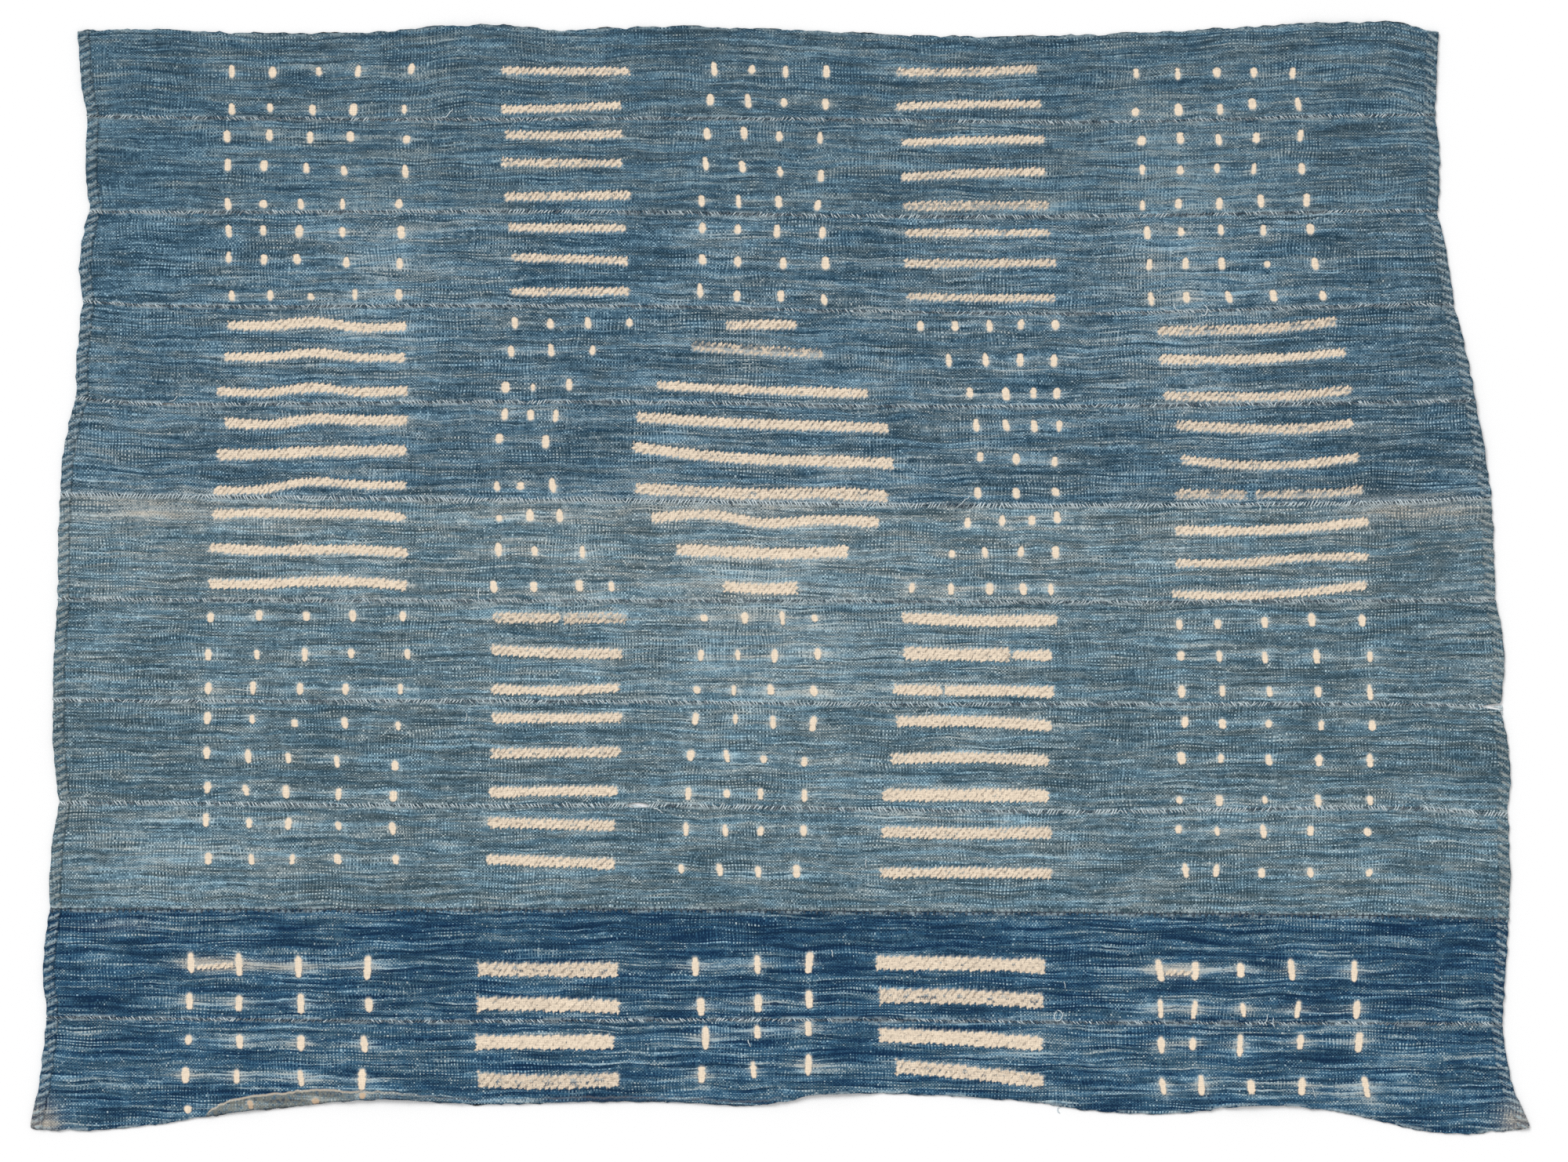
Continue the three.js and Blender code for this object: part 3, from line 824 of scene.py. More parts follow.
class Recipe:
    """A material and the few kinds of node that its finish is mixed from."""

    def __init__(self, name):
        self.material = bpy.data.materials.new(name)
        self.material.use_nodes = True
        self.tree = self.material.node_tree
        self.shader = self.tree.nodes["Principled BSDF"]

    def node(self, kind, **settings):
        made = self.tree.nodes.new(kind)
        for name, value in settings.items():
            setattr(made, name, value)
        return made

    def feed(self, socket, value):
        if isinstance(value, Wire):
            self.tree.links.new(value.socket, socket)
        elif value is not None:
            socket.default_value = value

    def math(self, operation, *values):
        made = self.node("ShaderNodeMath", operation=operation)
        for socket, value in zip(made.inputs, values):
            self.feed(socket, value)
        return Wire(self, made.outputs[0])

    def place(self, along, across):
        made = self.node("ShaderNodeCombineXYZ")
        self.feed(made.inputs[0], along)
        self.feed(made.inputs[1], across)
        return Wire(self, made.outputs[0])

    def noise(self, along, across, detail=0.0, roughness=0.5):
        """Soft noise about 0, mostly within -1 to 1."""
        made = self.node("ShaderNodeTexNoise", noise_dimensions="2D")
        self.feed(made.inputs["Vector"], self.place(along, across))
        made.inputs["Scale"].default_value = 1.0
        made.inputs["Detail"].default_value = detail
        made.inputs["Roughness"].default_value = roughness
        return self.spread(Wire(self, made.outputs[0]), 0.2, 0.8, -1.3, 1.3, "LINEAR")

    def chance(self, along, across):
        made = self.node("ShaderNodeTexWhiteNoise", noise_dimensions="2D")
        self.feed(made.inputs["Vector"], self.place(along, across))
        return Wire(self, made.outputs[0])

    def spread(self, value, low, high, to_low=0.0, to_high=1.0, kind="SMOOTHSTEP"):
        made = self.node("ShaderNodeMapRange", interpolation_type=kind)
        if kind == "LINEAR":
            made.clamp = False
        for socket, number in zip(made.inputs, (value, low, high, to_low, to_high)):
            self.feed(socket, number)
        return Wire(self, made.outputs[0])

    def mix(self, share, first, second):
        made = self.node("ShaderNodeMix", data_type="FLOAT")
        for socket, value in zip(made.inputs[:4], (share, None, first, second)):
            self.feed(socket, value)
        return Wire(self, made.outputs[0])

    def mix_colours(self, share, first, second):
        made = self.node("ShaderNodeMix", data_type="RGBA")
        self.feed(made.inputs[0], share)
        self.feed(made.inputs[6], first)
        self.feed(made.inputs[7], second)
        return Wire(self, made.outputs[2])

    def ramp(self, value, stops):
        made = self.node("ShaderNodeValToRGB")
        band = made.color_ramp
        while len(band.elements) < len(stops):
            band.elements.new(0.5)
        for element, (position, shade) in zip(band.elements, stops):
            element.position = position
            element.color = (*shade, 1)
        self.feed(made.inputs[0], value)
        return Wire(self, made.outputs[0])

    def threads(self):
        made = self.node("ShaderNodeUVMap", uv_map="Thread")
        parts = self.node("ShaderNodeSeparateXYZ")
        self.tree.links.new(made.outputs[0], parts.inputs[0])
        return Wire(self, parts.outputs[0]), Wire(self, parts.outputs[1])

    def value_of(self, name):
        made = self.node("ShaderNodeAttribute", attribute_name=name)
        return Wire(self, made.outputs["Fac"])

    def parts_of(self, name):
        made = self.node("ShaderNodeAttribute", attribute_name=name)
        parts = self.node("ShaderNodeSeparateXYZ")
        self.tree.links.new(made.outputs["Vector"], parts.inputs[0])
        return tuple(Wire(self, socket) for socket in parts.outputs)

    def bump(self, height, distance, strength=1.0):
        made = self.node("ShaderNodeBump")
        made.inputs["Strength"].default_value = strength
        made.inputs["Distance"].default_value = distance
        self.feed(made.inputs["Height"], height)
        self.tree.links.new(made.outputs[0], self.shader.inputs["Normal"])


def four(shade):
    return (*shade, 1.0)


def halfway(first, second, share=0.5):
    return tuple(a * (1 - share) + b * share for a, b in zip(first, second))


def woven_threads(r):
    """The threads of a plain weave, none of which runs quite straight, with their slubs and flecks, and a
    mask for the light and shade painted on each thread.
    """
    size = sizes()
    u, v = r.threads()
    v_sway = v + r.noise(u * 0.02, v * 0.05) * 1.3 + r.noise(u * 0.11, v * 0.3) * 0.3
    u_sway = u + r.noise(u * 0.03, v * 0.04 + 40) * 1.2 + r.noise(u * 0.3, v * 0.11 + 80) * 0.3
    warp = v_sway / (size.warp_pitch / MM)
    weft = u_sway / (size.weft_pitch / MM)
    warp_number = r.math("FLOOR", warp)
    weft_number = r.math("FLOOR", weft)
    weft_wave = r.math("SINE", weft * math.pi)
    warp_wave = r.math("SINE", warp * math.pi)
    over = weft_wave * warp_wave
    return SimpleNamespace(
        u=u, v=v, v_sway=v_sway, warp_number=warp_number, weft_number=weft_number, weft_wave=weft_wave,
        warp_wave=warp_wave, over=over, fleck=r.chance(warp_number, weft_number),
        slub=r.noise(u * 0.07, warp_number * 3.71, detail=1.5), grain=r.noise(u * 0.9, v_sway * 1.1),
        # 1 on the middle of each thread and 0 between threads: where light and shade are painted on the
        # weave.
        gap=r.spread(r.math("ABSOLUTE", over), 0.0, 0.5))


def dye_paleness_and_thread_light(r, t, dye):
    """How pale the dye is. Handspun yarn takes it unevenly, and threads lie closer in some places. The middle
    of each thread is also painted paler, as painted light.
    """
    u, v, v_sway, fleck = t.u, t.v, t.v_sway, t.fleck
    grained, clouded = (0.72, 1.35) if dye == "dark" else (0.95, 1.0)
    on_top = r.spread(t.over, -0.3, 0.3)
    long_slub = r.noise(u * 0.013, t.warp_number * 5.13 + 60)
    group = r.noise(u * 0.006, v_sway * 0.20, detail=3.0, roughness=0.7)
    cloud = r.noise(u * 0.022, v * 0.045, detail=1.0)
    pick = r.noise(t.weft_number * 4.17, v * 0.06, detail=1.0)
    ribbed = r.spread(r.noise(u * 0.012 + 30, v * 0.03), -0.5, 0.9)
    lined = r.spread(r.noise(u * 0.010 + 90, v * 0.04 + 10), -0.5, 0.9)
    z = r.mix(on_top, pick * 0.24 - 0.22, t.slub * 0.28 + 0.17)
    z = z + (fleck - 0.5) * 0.26 + t.grain * 0.07
    z = z + ribbed * t.weft_wave * 0.20 + lined * t.warp_wave * 0.10
    z = z * grained
    z = z + (long_slub * 0.18 + group * 0.18 + cloud * 0.05) * clouded
    z = z + r.spread(fleck, 0.96, 0.98) * on_top * 0.36
    weak_streak = r.value_of("haze") * (0.75 + r.noise(u * 0.03, v_sway * 0.7, detail=1.0) * 0.5)
    # The middle of each thread is painted paler, as painted light.
    return z + t.gap * 0.20 + 0.32 + r.value_of("paler") * 0.30 + weak_streak * 0.60


def dyed_threads(r, t, paleness, tones):
    """The dye's colour, bluer in some places and greyer in others, and browned where it is soiled or weak."""
    u, v_sway = t.u, t.v_sway

    def dye_of(red, blue):
        deep, middle, pale = [tuple(c * k for c, k in zip(each, (red, 1.0, blue))) for each in tones]
        return r.ramp(paleness, [(0.0, deep), (0.25, halfway(deep, middle, 0.45)), (0.5, middle),
                                 (0.75, halfway(middle, pale, 0.38)), (1.0, pale)])
    warmer = r.value_of("warmer")
    hue = r.noise(u * 0.009, v_sway * 0.12 + 300, detail=2.0, roughness=0.6) * 0.6
    hue = hue + r.noise(u * 0.05, v_sway * 0.35 + 600) * 0.25 + 0.5 + r.math("MINIMUM", warmer, 0.0) * 1.2
    dyed = r.mix_colours(r.spread(hue, 0.0, 1.0, 0.0, 1.0, "LINEAR"), dye_of(0.80, 1.12), dye_of(1.08, 0.95))
    warm = r.math("MAXIMUM", warmer, 0.0) + r.value_of("haze") * 0.45
    warm = warm * r.spread(paleness, 0.1, 1.0, 0.35, 1.1)
    return r.mix_colours(r.spread(warm, 0.0, 1.0, 0.0, 0.55), dyed, four(SOILED))


def cloth_edges(r, t):
    """The hems, drawn in by their stitches, the selvedges and the turned-up edge."""
    from_end = r.value_of("from_end")
    drawn = r.math("SINE", (t.v + from_end * 0.5) * (2 * math.pi / (sizes().hem_stitch_step / MM)))
    return SimpleNamespace(
        from_end=from_end, from_edge=r.value_of("from_edge"), hem=r.value_of("hem"), drawn=drawn,
        fold=r.spread(r.value_of("fold"), 0.35, 0.65), bareness=r.value_of("bareness"))


def worn_edges(r, t, edges, dyed, dye, tones):
    """The dyed cotton with its hems, selvedges and turned-up edge worn and soiled. The hem's bulges also get
    painted light, and its hollows and stitch line get painted shade.
    """
    deep, middle, pale = tones
    undyed, hem_grey = tuple(colours().undyed), tuple(colours().hem_grey)
    from_end, from_edge, hem, drawn = edges.from_end, edges.from_edge, edges.hem, edges.drawn
    worn = r.noise(t.u * 0.25, t.v * 0.2, detail=2.0) + (t.fleck - 0.5) * 1.4
    # The bulges between the hem's stitches are paler: partly painted light on their tops, partly worn grey
    # cotton.
    bulge_light_and_wear = hem * r.spread(drawn + worn * 0.5, 0.0, 1.3) * r.spread(from_end, 0.5, 2.5, 0.4, 1.0)
    dyed = r.mix_colours(hem * 0.06, dyed, four(deep))
    greyed = {"slate": 0.15, "mid": 0.2, "faded": 0.5, "pale": 0.5, "dark": 0.1}[dye]
    dyed = r.mix_colours(bulge_light_and_wear * 0.8, dyed, four(halfway(halfway(middle, pale, 0.9), hem_grey, greyed)))
    # Painted shade along the hem's stitch line and in the hollows where the stitches draw the hem in.
    stitch_line = r.spread(r.math("ABSOLUTE", from_end - sizes().hem_width / MM), 0.3, 1.8, 1.0, 0.0)
    stitch_line_shade = stitch_line * r.spread(drawn + worn * 0.4, -0.6, 0.9, 0.6, 0.1)
    painted_hem_shade = r.math("MAXIMUM", stitch_line_shade, hem * r.spread(drawn, -0.3, -0.95, 0.0, 0.6))
    dyed = r.mix_colours(painted_hem_shade * r.spread(worn, -1.0, 0.6, 0.4, 1.0), dyed, four(deep))
    reverse = r.mix_colours(r.spread(worn, -1.3, 0.9, 0.2, 0.75), dyed, four(hem_grey))
    dyed = r.mix_colours(edges.fold * edges.bareness, dyed, reverse)
    fold_edge = r.math("ABSOLUTE", r.value_of("from_fold") + r.noise(t.u * 0.1, 3.0) * 0.5)
    fold_edge = r.spread(fold_edge, 0.4, 1.7, 1.0, 0.0) * r.spread(edges.bareness, 0.0, 1.0, 0.1, 1.0)
    dyed = r.mix_colours(fold_edge * 0.6, dyed, four(halfway(hem_grey, undyed, 0.7)))
    selvedge = r.spread(from_edge, 0.5, 4.5, 1.0, 0.0) * (1 - edges.fold)
    lit = r.spread(r.noise(t.u * 0.04, from_edge * 0.1) * 1.3 + (t.fleck - 0.5) * 1.8, -0.3, 1.1, 0.0, 0.75)
    return r.mix_colours(selvedge * lit, dyed, four(pale))


def tied_mark(r, t):
    """A mark's shape. Its sides are ragged where the tied cloth was pleated, each pleat leaning over."""
    u = t.u
    along, across, seed = r.parts_of("mark_place")
    half, tall, crept = r.parts_of("mark_size")
    is_bar = r.math("GREATER_THAN", half, LEAST_BAR)
    in_dark = r.math("GREATER_THAN", seed, DARK_SEED * SEED_SCALE / 2)
    pleat = (u - across * 0.85) / r.mix(in_dark, 6.2, 8.4) + r.noise(u * 0.05, seed) * 0.3
    pleat_number = r.math("FLOOR", pleat)
    pleat_side = r.math("ABSOLUTE", (pleat - pleat_number) * 2 - 1)
    tooth = r.chance(pleat_number, seed) - 0.5
    comb = (0.5 - pleat_side) * 2.3 + tooth * 0.8 + t.weft_wave * 0.5 - 0.8
    comb = comb + (r.chance(t.weft_number, seed) - 0.5) * 0.4
    comb = comb * r.spread(is_bar, 0.0, 1.0, 0.15, 1.0)
    flared = in_dark * r.spread(along + half, 0.0, 3.0, 2.8, 0.0)
    side = r.math("ABSOLUTE", across)
    reach = side - tall - comb - flared - r.noise(u * 0.04, seed * 3) * 0.5
    ends = r.math("ABSOLUTE", along) - half - r.noise(t.v * 0.35, seed + 7.7) * r.mix(is_bar, 0.4, 1.2)
    up_mark = side / tall
    ends = ends + up_mark * up_mark * (1 - is_bar) * 1.1 - (1 - is_bar) * 0.3
    corner = r.math("MINIMUM", half * 0.7, 2.4)
    reach_out = r.math("MAXIMUM", reach + corner, 0.0)
    ends_out = r.math("MAXIMUM", ends + corner, 0.0)
    outside = r.math("SQRT", reach_out * reach_out + ends_out * ends_out) - corner
    inside = r.math("MINIMUM", r.math("MAXIMUM", reach, ends) + corner, 0.0)
    return SimpleNamespace(
        across=across, seed=seed, tall=tall, crept=crept, is_bar=is_bar, in_dark=in_dark, tooth=tooth,
        pleat_side=pleat_side, side=side, ends=ends, distance=outside + inside)


def undyed_cotton(r, t, m, fold, dyed):
    """The cotton inside a mark, shaded by its pleats and needle holes, with dye crept in along the pleats."""
    u, across, side = t.u, m.across, m.side
    stroke = r.spread(m.pleat_side + r.noise(u * 0.2, across * 0.3) * 0.3, r.mix(m.in_dark, 0.6, 0.7), 1.0)
    creep = r.noise(u * 0.10, m.seed * 2 + across * 0.10, detail=1.0) * 0.8 + stroke * 0.6 - 0.3
    creep = creep + r.noise(u * 0.9, across * 0.4) * 0.45
    creep = creep + m.crept * 1.9 - side / m.tall * r.mix(m.in_dark, 0.8, 1.1) - 0.75 - m.in_dark * 0.15
    crept_in = r.spread(creep, 0.0, 1.0) * 0.85 * m.is_bar
    # Painted shade between the threads, with the cotton's own uneven tone and the dullness of crept dye.
    shaded = (1 - t.gap) * 0.30 + (t.fleck - 0.5) * 0.45 + t.grain * 0.10 + t.slub * 0.08
    shaded = shaded + m.crept * 0.35 - r.mix(m.is_bar, 0.22, 0.06)
    pleated = stroke * r.spread(m.tooth, -0.5, 0.5, 0.35, 0.85) * r.spread(m.crept, 0.0, 0.6, 0.7, 1.3)
    shaded = shaded + pleated * m.is_bar * r.mix(m.in_dark, 1.0, 0.6)
    cream = r.mix_colours(r.spread(shaded, -0.1, 1.0), four(tuple(colours().undyed)), four(CREAM_SHADOW))
    # Dark specks of painted shade in needle holes, mostly near a bar's middle line.
    needle = r.spread(r.chance(t.weft_number * 1.7, m.seed + t.warp_number), 0.93, 0.97)
    needle = needle * m.is_bar * r.spread(side, 0.0, m.tall * 0.8, 0.5, 0.0)
    cream = r.mix_colours(needle, cream, four(NEEDLE_HOLE_SHADE))
    cream = r.mix_colours(crept_in, cream, dyed)
    return r.mix_colours(fold * 0.7, cream, four(MARK_ON_REVERSE))


def marked_cloth(r, t, edges, dyed, tones):
    """The dyed cotton with its marks, each with painted light along its side towards the cloth's middle and
    painted shade along the other.
    """
    deep, pale = tones[0], tones[2]
    m = tied_mark(r, t)
    is_upper = r.math("LESS_THAN", m.seed, 0.0)
    above = r.spread(m.across * (1 - is_upper * 2), -1.0, 1.0)
    # Painted highlight on the side of each mark towards the cloth's middle, painted shade on its other side.
    rim = r.spread(m.distance, 0.0, 3.2, 1.0, 0.0) * r.spread(m.ends, 0.0, 1.5, 1.0, 0.4)
    dyed = r.mix_colours(rim * above * 0.40, dyed, four(halfway(pale, tuple(colours().undyed), 0.3)))
    dyed = r.mix_colours(rim * (1 - above) * 0.50, dyed, four(deep))
    cream = undyed_cotton(r, t, m, edges.fold, dyed)
    mark = 1 - r.spread(m.distance + (t.fleck - 0.5) * 0.7, -1.0, 0.9)
    return r.mix_colours(mark * r.spread(edges.fold * edges.bareness, 0.0, 1.0, 1.0, 0.8), dyed, cream)


def cloth_finish(dye):
    """Plain weave of handspun cotton in one dye, with its marks, hems and wear."""
    r = Recipe(f"{dye}_cotton")
    tones = [tuple(getattr(colours(), f"{dye}_{part}")) for part in ("deep", "middle", "pale")]
    t = woven_threads(r)
    edges = cloth_edges(r, t)
    paleness = dye_paleness_and_thread_light(r, t, dye)
    dyed = dyed_threads(r, t, paleness, tones)
    dyed = worn_edges(r, t, edges, dyed, dye, tones)
    marked = marked_cloth(r, t, edges, dyed, tones)
    # Painted shade along each strip's long edges, deepest at the edge, as in the grooves where strips meet.
    groove_shade = r.spread(edges.from_edge + r.noise(t.u * 0.3, 5.0) * 0.7, 0.2, 1.9, 0.5, 0.0)
    r.feed(r.shader.inputs["Base Color"], r.mix_colours(groove_shade, marked, four(tones[0])))
    r.feed(r.shader.inputs["Roughness"], r.spread(paleness, 0.0, 1.0, 0.98, 0.86))
    r.shader.inputs["Specular IOR Level"].default_value = 0.1
    r.shader.inputs["Sheen Weight"].default_value = 0.05
    r.shader.inputs["Sheen Roughness"].default_value = 0.6
    weave = r.math("ABSOLUTE", t.over) + t.slub * 0.3 + (t.fleck - 0.5) * 0.3 + edges.drawn * edges.hem * 1.2
    r.bump(weave, 0.4 * MM, 0.8)
    return r.material


def thread_finish():
    """Two-ply sewing cotton, dark or pale as its stitch says."""
    shade = colours()
    r = Recipe("sewing_cotton")
    u, v = r.threads()
    twist = r.math("SINE", u * 5.0 + v * 6.2832)
    uneven = r.noise(u * 0.6, v * 0.5, detail=1.0)
    tint = r.spread(twist * 0.35 + uneven * 0.5, -1.0, 1.0)
    pale, dark = tuple(shade.pale_thread), tuple(shade.dark_thread)
    white, black = (1, 1, 1), (0, 0, 0)
    bright = r.ramp(tint, [(0.0, halfway(pale, dark, 0.35)), (0.5, pale), (1.0, halfway(pale, white, 0.35))])
    dull = r.ramp(tint, [(0.0, halfway(dark, black, 0.5)), (0.5, dark), (1.0, halfway(dark, pale, 0.25))])
    r.feed(r.shader.inputs["Base Color"], r.mix_colours(r.value_of("paleness"), dull, bright))
    r.feed(r.shader.inputs["Roughness"], r.spread(uneven, -1.0, 1.0, 0.8, 0.95))
    r.shader.inputs["Specular IOR Level"].default_value = 0.15
    r.bump(twist, 0.06 * MM, 0.6)
    return r.material


# Stitches and threads.

def join_threads(name, runs, radii, paleness, material, sides=4):
    """One mesh of many threads. runs holds the points along the middle of each, in millimetres, with the same
    count for all. radii and paleness hold one number for each."""
    runs = np.asarray(runs, float)
    total, stations = runs.shape[:2]
    ahead = np.gradient(runs, axis=1)
    ahead /= np.linalg.norm(ahead, axis=2, keepdims=True)
    side = np.cross(ahead, (0, 0, 1))
    side /= np.maximum(np.linalg.norm(side, axis=2, keepdims=True), 1e-6)
    up = np.cross(side, ahead)
    taper = np.ones(stations)
    taper[[0, -1]] = 0.6
    radius = np.asarray(radii)[:, None, None, None] * taper[None, :, None, None]
    turn = np.linspace(0, 2 * np.pi, sides, endpoint=False)[None, None, :, None]
    ring = runs[:, :, None] + radius * (np.cos(turn) * side[:, :, None] + np.sin(turn) * up[:, :, None])
    index = np.arange(total * stations * sides).reshape(total, stations, sides)
    after = np.roll(index, -1, axis=2)
    quads = np.stack([index[:, :-1], after[:, :-1], after[:, 1:], index[:, 1:]], -1).reshape(-1, 4)
    caps = np.concatenate([index[:, 0, ::-1], index[:, -1]])
    travelled = np.zeros((total, stations))
    travelled[:, 1:] = np.cumsum(np.linalg.norm(np.diff(runs, axis=1), axis=2), axis=1)
    travelled += np.arange(total)[:, None] * 5.7
    u = np.broadcast_to(travelled[:, :, None], index.shape).reshape(-1)
    v = np.broadcast_to(np.arange(sides) / sides, index.shape).reshape(-1)
    mesh = bpy.data.meshes.new(name)
    mesh.from_pydata((ring.reshape(-1, 3) * MM).tolist(), [], quads.tolist() + caps.tolist())
    corners = np.concatenate([quads.ravel(), caps.ravel()])
    v_corner = v[corners]
    wrap = np.zeros(len(corners), bool)
    wrap[:quads.size].reshape(-1, 4)[:, 1:3] = True
    v_corner = np.where(wrap & (v_corner == 0), 1.0, v_corner)
    layer = mesh.uv_layers.new(name="Thread")
    layer.data.foreach_set("uv", np.stack([u[corners], v_corner], 1).astype(np.float32).ravel())
    attribute = mesh.attributes.new("paleness", "FLOAT", "POINT")
    attribute.data.foreach_set("value", np.repeat(np.asarray(paleness, np.float32), stations * sides))
    mesh.shade_smooth()
    mesh.materials.append(material)
    made = bpy.data.objects.new(name, mesh)
    bpy.context.collection.objects.link(made)
    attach(made, "root")
    return made


def seam_stitches(upper_strip, lower_strip, seam):
    """Whip stitches from one strip to the next: their runs, radii and paleness."""
    random = np.random.default_rng(100 + seam)
    reach, pale, share = SEAMS[seam - 1]
    size = sizes()
    step = size.stitch_step / MM
    start = max(upper_strip.x[-1, 0], lower_strip.x[0, 0]) + 2
    end = min(upper_strip.x[-1, -1], lower_strip.x[0, -1]) - 2
    along = np.arange(start, end, step)
    along = along + random.uniform(-0.25, 0.25, len(along)) * step
    sewn = np.ones(len(along), bool)
    for number, place, half, _ in OPENINGS:
        if number == seam:
            sewn &= np.abs(along - place) > half * 0.7
    along = along[sewn]
    beaded = pale == 0
    if beaded:
        along = along[::2]
    count = len(along)
    worn = 0.7 * frayed(along / 3, seam * 300.0) + 0.7 * slow(along, seam * 70.0)
    # Stitches that don't show pale are dark: partly dark thread, partly painted shade between the pale
    # stitches.
    is_pale = random.random(count) < share + 0.3 * worn
    paleness = np.where(is_pale, pale * random.uniform(0.7, 1.0, count), random.uniform(0.05, 0.4, count))
    if beaded:
        paleness = random.uniform(0.0, 0.1, count)
    radii = size.sewing_thread / MM / 2 * random.uniform(0.75, 1.3, count) * (1.6 if beaded else 1.0)
    t = np.linspace(-1, 1, 5)[None, :]
    far = (reach * random.uniform(0.65, 1.25, count))[:, None]
    lean = np.where(0.8 * slow(along * 0.7, seam * 510.0) + 0.3 > 0, 1, -1)
    slant = (lean * random.uniform(1.4, 2.6, count))[:, None] * (0.25 if beaded else 1.0)
    x = along[:, None] + slant * t
    middle = smooth_line(lower_strip.x[0], lower_strip.y[0])(along) + random.uniform(-0.6, 0.6, count)
    y = middle[:, None] - far * t
    boundary = smooth_line(lower_strip.x[0], lower_strip.y[0])(x)
    own = np.where(y > boundary, edge_height(upper_strip, x, y, False), edge_height(lower_strip, x, y, True))
    crest = own[:, 1:4].max(axis=1)[:, None]
    ridge = np.array([0, 0.6, 1, 0.6, 0])[None, :]
    arch = 0.4 * np.array([-1.3, 0.4, 1, 0.4, -1.3])[None, :]
    z = crest * ridge + own * (1 - ridge) + arch
    return np.stack([x, y, z], -1), radii, paleness


def edge_height(strip, x, y, from_top):
    """The face's height at places near the strip's upper or lower line."""
    last = strip.shape[0]
    out = np.zeros(x.shape)
    best = np.full(x.shape, 1e9)
    for j in (range(1, 7) if from_top else range(last - 7, last - 1)):
        far = np.abs(np.interp(x, strip.x[j], strip.y[j]) - y)
        out = np.where(far < best, np.interp(x, strip.x[j], strip.top[j]), out)
        best = np.minimum(best, far)
    return out


def face_height(x, y):
    """The height of the cloth's face at a few places."""
    out = np.zeros(len(x))
    for k in range(len(x)):
        for strip in STRIPS_MADE:
            row_y = np.array([np.interp(x[k], strip.x[j], strip.y[j]) for j in range(strip.shape[0])])
            if row_y[-1] - 0.5 <= y[k] <= row_y[0] + 0.5:
                j = int(np.abs(row_y - y[k]).argmin())
                out[k] = np.interp(x[k], strip.x[j], strip.top[j])
    return out


# The strips as they are made, for the stitches and threads that lie on them.
STRIPS_MADE = []


class INDIGO_CLOTH_OT_strips(bpy.types.Operator):
    """Make the eleven dyed strips"""
    bl_idname = "indigo_cloth.strips"
    bl_label = "Strips"

    def execute(self, context):
        marks = charted_marks()
        finishes = {}
        STRIPS_MADE.clear()
        for number in range(1, STRIP_COUNT + 1):
            strip = Strip(number)
            STRIPS_MADE.append(strip)
            mesh = strip_mesh(strip, marks)
            dye = STRIPS[strip.name][0]
            if dye not in finishes:
                finishes[dye] = cloth_finish(dye)
            mesh.materials.append(finishes[dye])
            piece = bpy.data.objects.new(strip.name + "_cloth", mesh)
            context.collection.objects.link(piece)
            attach(piece, "root")
            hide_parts(strip.name)
        return {"FINISHED"}


class INDIGO_CLOTH_OT_seams(bpy.types.Operator):
    """Sew the strips together"""
    bl_idname = "indigo_cloth.seams"
    bl_label = "Seam stitches"

    def execute(self, context):
        material = thread_finish()
        for seam in range(1, STRIP_COUNT):
            runs, radii, paleness = seam_stitches(STRIPS_MADE[seam - 1], STRIPS_MADE[seam], seam)
            join_threads(f"seam_{seam:02d}_stitches", runs, radii, paleness, material)
        return {"FINISHED"}


class INDIGO_CLOTH_OT_hems(bpy.types.Operator):
    """Stitch the hems down"""
    bl_idname = "indigo_cloth.hems"
    bl_label = "Hem stitches"

    def execute(self, context):
        size = sizes()
        step = size.hem_stitch_step / MM
        material = bpy.data.materials["sewing_cotton"]
        for side, name in ((1, "left_hem_stitches"), (-1, "right_hem_stitches")):
            random = np.random.default_rng(200 + side)
            runs = []
            for strip in STRIPS_MADE:
                column = 0 if side > 0 else -1
                line_x, line_y = strip.x[:, column], strip.y[:, column]
                hem_x = strip.x[:, HEM_COLUMN if side > 0 else -1 - HEM_COLUMN]
                first = step * np.ceil(strip.from_upper[0, column] / step)
                for k in range(int((line_y[0] - line_y[-1] - 4) / step) + 1):
                    y = line_y[0] - first - step * (k + random.uniform(-0.12, 0.12)) - 2
                    if y < line_y[-1] + 5:
                        continue
                    inner = float(np.interp(-y, -line_y, hem_x))
                    outer = float(np.interp(-y, -line_y, line_x))
                    j = int(np.abs(line_y - y).argmin())
                    share = np.array([0.12, 0.3, 0.55, 0.8, 1.0, 1.12])
                    x = outer + (inner - outer) * share
                    run_y = y + np.array([-3.0, -2.0, -0.3, 1.2, 2.4, 3.0]) * random.uniform(0.7, 1.2)
                    z = np.interp(x, np.sort(strip.x[j]), strip.top[j])
                    z = z + np.array([-0.5, -0.1, 0.1, 0.2, 0.3, -0.5])
                    runs.append(np.stack([x, run_y, z], 1))
            count = len(runs)
            join_threads(name, runs, size.sewing_thread / MM / 2 * random.uniform(0.3, 0.5, count),
                         random.uniform(0.1, 0.5, count), material)
        return {"FINISHED"}


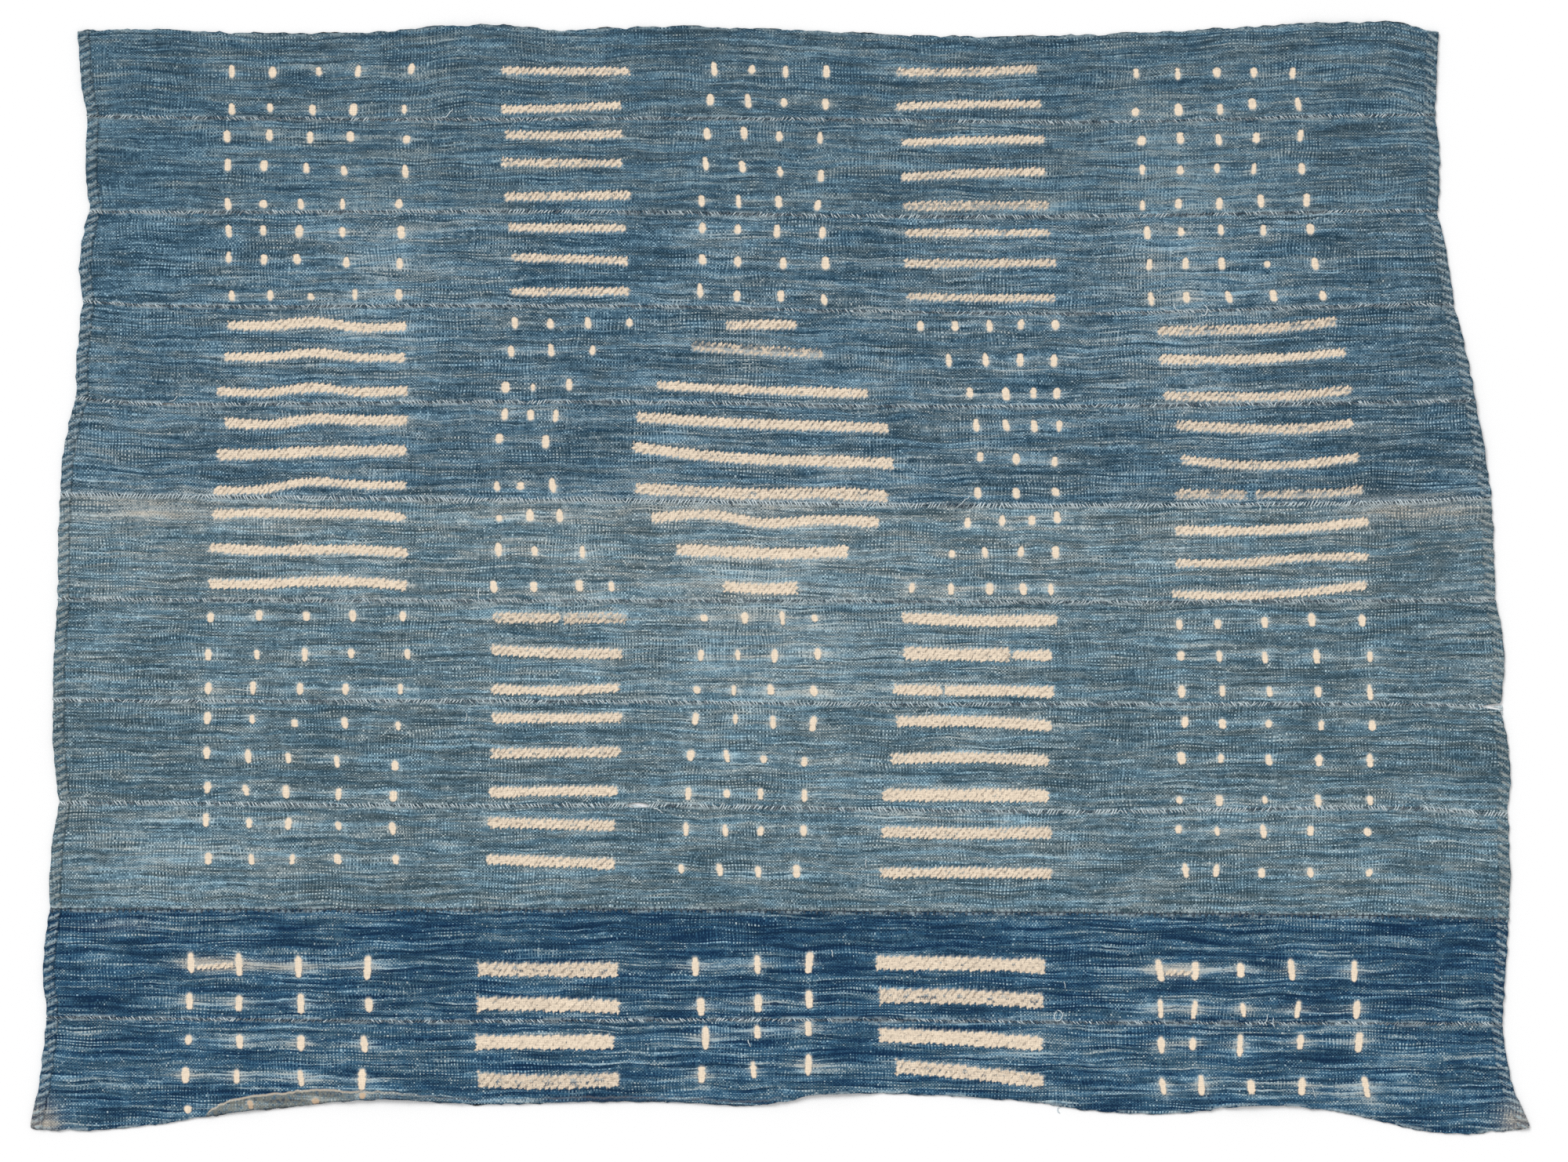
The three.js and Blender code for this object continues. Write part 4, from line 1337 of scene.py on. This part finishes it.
class INDIGO_CLOTH_OT_loose(bpy.types.Operator):
    """Add the loose thread ends and the frayed threads in the open places"""
    bl_idname = "indigo_cloth.loose"
    bl_label = "Loose threads"

    def execute(self, context):
        random = np.random.default_rng(300)
        material = bpy.data.materials["sewing_cotton"]
        runs = []
        for column, height, way, long, turns in LOOSE:
            t = np.linspace(0, 1, 9)
            turning = math.radians(way) + 2 * np.pi * turns * t + random.uniform(-0.5, 0.5, 9)
            x = across_chart(column) + np.cumsum(np.cos(turning)) * long / 9
            y = up_chart(height) + np.cumsum(np.sin(turning)) * long / 9
            z = face_height(x, y) + 0.35 + 0.3 * np.sin(t * np.pi)
            runs.append(np.stack([x, y, z], 1))
        for seam, middle, half, wide in OPENINGS:
            line = smooth_line(STRIPS_MADE[seam].x[0], STRIPS_MADE[seam].y[0])
            for _ in range(int(10 + wide * 2)):
                reach = half * random.uniform(0.35, 0.9)
                start = middle + random.uniform(-0.3, 0.3) * half - reach / 2
                x = np.linspace(start, start + reach, 9)
                x = np.minimum(x, FRAYED_REACH)
                x = x + np.linspace(0, 0.01, 9)
                y = line(x) + 0.5 * wide * random.uniform(-0.9, 0.9)
                y = y + 0.5 * np.cumsum(random.uniform(-1, 1, 9))
                z = 0.5 + 0.8 * random.random() + 0.2 * np.sin(np.linspace(0, 9, 9))
                runs.append(np.stack([x, y, z], 1))
        count = len(runs)
        join_threads("loose_threads", runs, random.uniform(0.35, 0.6, count),
                     random.uniform(0.85, 1.0, count), material)
        return {"FINISHED"}


class INDIGO_CLOTH_OT_stage(bpy.types.Operator):
    """Set the floor, the light and the camera"""
    bl_idname = "indigo_cloth.stage"
    bl_label = "Floor, light and camera"

    def execute(self, context):
        scene = context.scene
        mesh = bpy.data.meshes.new("floor")
        reach = FLOOR_REACH
        mesh.from_pydata([(-reach, -reach, 0), (reach, -reach, 0), (reach, reach, 0), (-reach, reach, 0)], [],
                         [(0, 1, 2, 3)])
        floor = bpy.data.objects.new("floor", mesh)
        scene.collection.objects.link(floor)
        material = bpy.data.materials.new("pale_floor")
        material.use_nodes = True
        shader = material.node_tree.nodes["Principled BSDF"]
        shader.inputs["Base Color"].default_value = four(tuple(colours().floor))
        shader.inputs["Roughness"].default_value = 0.9
        shader.inputs["Specular IOR Level"].default_value = 0.1
        mesh.materials.append(material)

        world = bpy.data.worlds.new("studio")
        world.use_nodes = True
        background = world.node_tree.nodes["Background"]
        background.inputs["Color"].default_value = (1, 1, 1, 1)
        background.inputs["Strength"].default_value = ROOM_LIGHT
        scene.world = world
        lamp = bpy.data.lights.new("soft_light", "SUN")
        lamp.energy = LAMP_STRENGTH
        lamp.angle = math.radians(LAMP_SPREAD)
        light = bpy.data.objects.new("soft_light", lamp)
        light.rotation_euler = Vector(LAMP_DIRECTION).to_track_quat("Z", "Y").to_euler()
        scene.collection.objects.link(light)

        lens = bpy.data.cameras.new("camera")
        lens.lens = CAMERA_LENS
        lens.sensor_width = CAMERA_FILM
        camera = bpy.data.objects.new("camera", lens)
        camera.location = CAMERA_PLACE
        scene.collection.objects.link(camera)
        scene.camera = camera
        scene.view_settings.view_transform = "Standard"
        scene.cycles.use_denoising = False
        return {"FINISHED"}


class INDIGO_CLOTH_PT_panel(bpy.types.Panel):
    """Lists the pieces of the cloth, with their sizes and colours"""
    bl_idname = "INDIGO_CLOTH_PT_panel"
    bl_label = "Indigo cloth"
    bl_space_type = "VIEW_3D"
    bl_region_type = "UI"
    bl_category = "Indigo cloth"

    def draw(self, context):
        layout = self.layout
        for operator in OPERATORS:
            layout.operator(operator.bl_idname)
        for group in (context.scene.indigo_cloth_sizes, context.scene.indigo_cloth_colours):
            box = layout.box()
            for name in group.bl_rna.properties.keys():
                if name not in ("rna_type", "name"):
                    box.prop(group, name)


OPERATORS = (
    INDIGO_CLOTH_OT_strips,
    INDIGO_CLOTH_OT_seams,
    INDIGO_CLOTH_OT_hems,
    INDIGO_CLOTH_OT_loose,
    INDIGO_CLOTH_OT_stage,
)
CLASSES = (IndigoClothSizes, IndigoClothColours, *OPERATORS, INDIGO_CLOTH_PT_panel)


def register():
    for each in CLASSES:
        bpy.utils.register_class(each)
    bpy.types.Scene.indigo_cloth_sizes = PointerProperty(type=IndigoClothSizes)
    bpy.types.Scene.indigo_cloth_colours = PointerProperty(type=IndigoClothColours)


def unregister():
    del bpy.types.Scene.indigo_cloth_sizes
    del bpy.types.Scene.indigo_cloth_colours
    for each in reversed(CLASSES):
        bpy.utils.unregister_class(each)


def main():
    register()
    for operator in OPERATORS:
        group, name = operator.bl_idname.split(".")
        getattr(getattr(bpy.ops, group), name)()


if __name__ == "__main__":
    main()
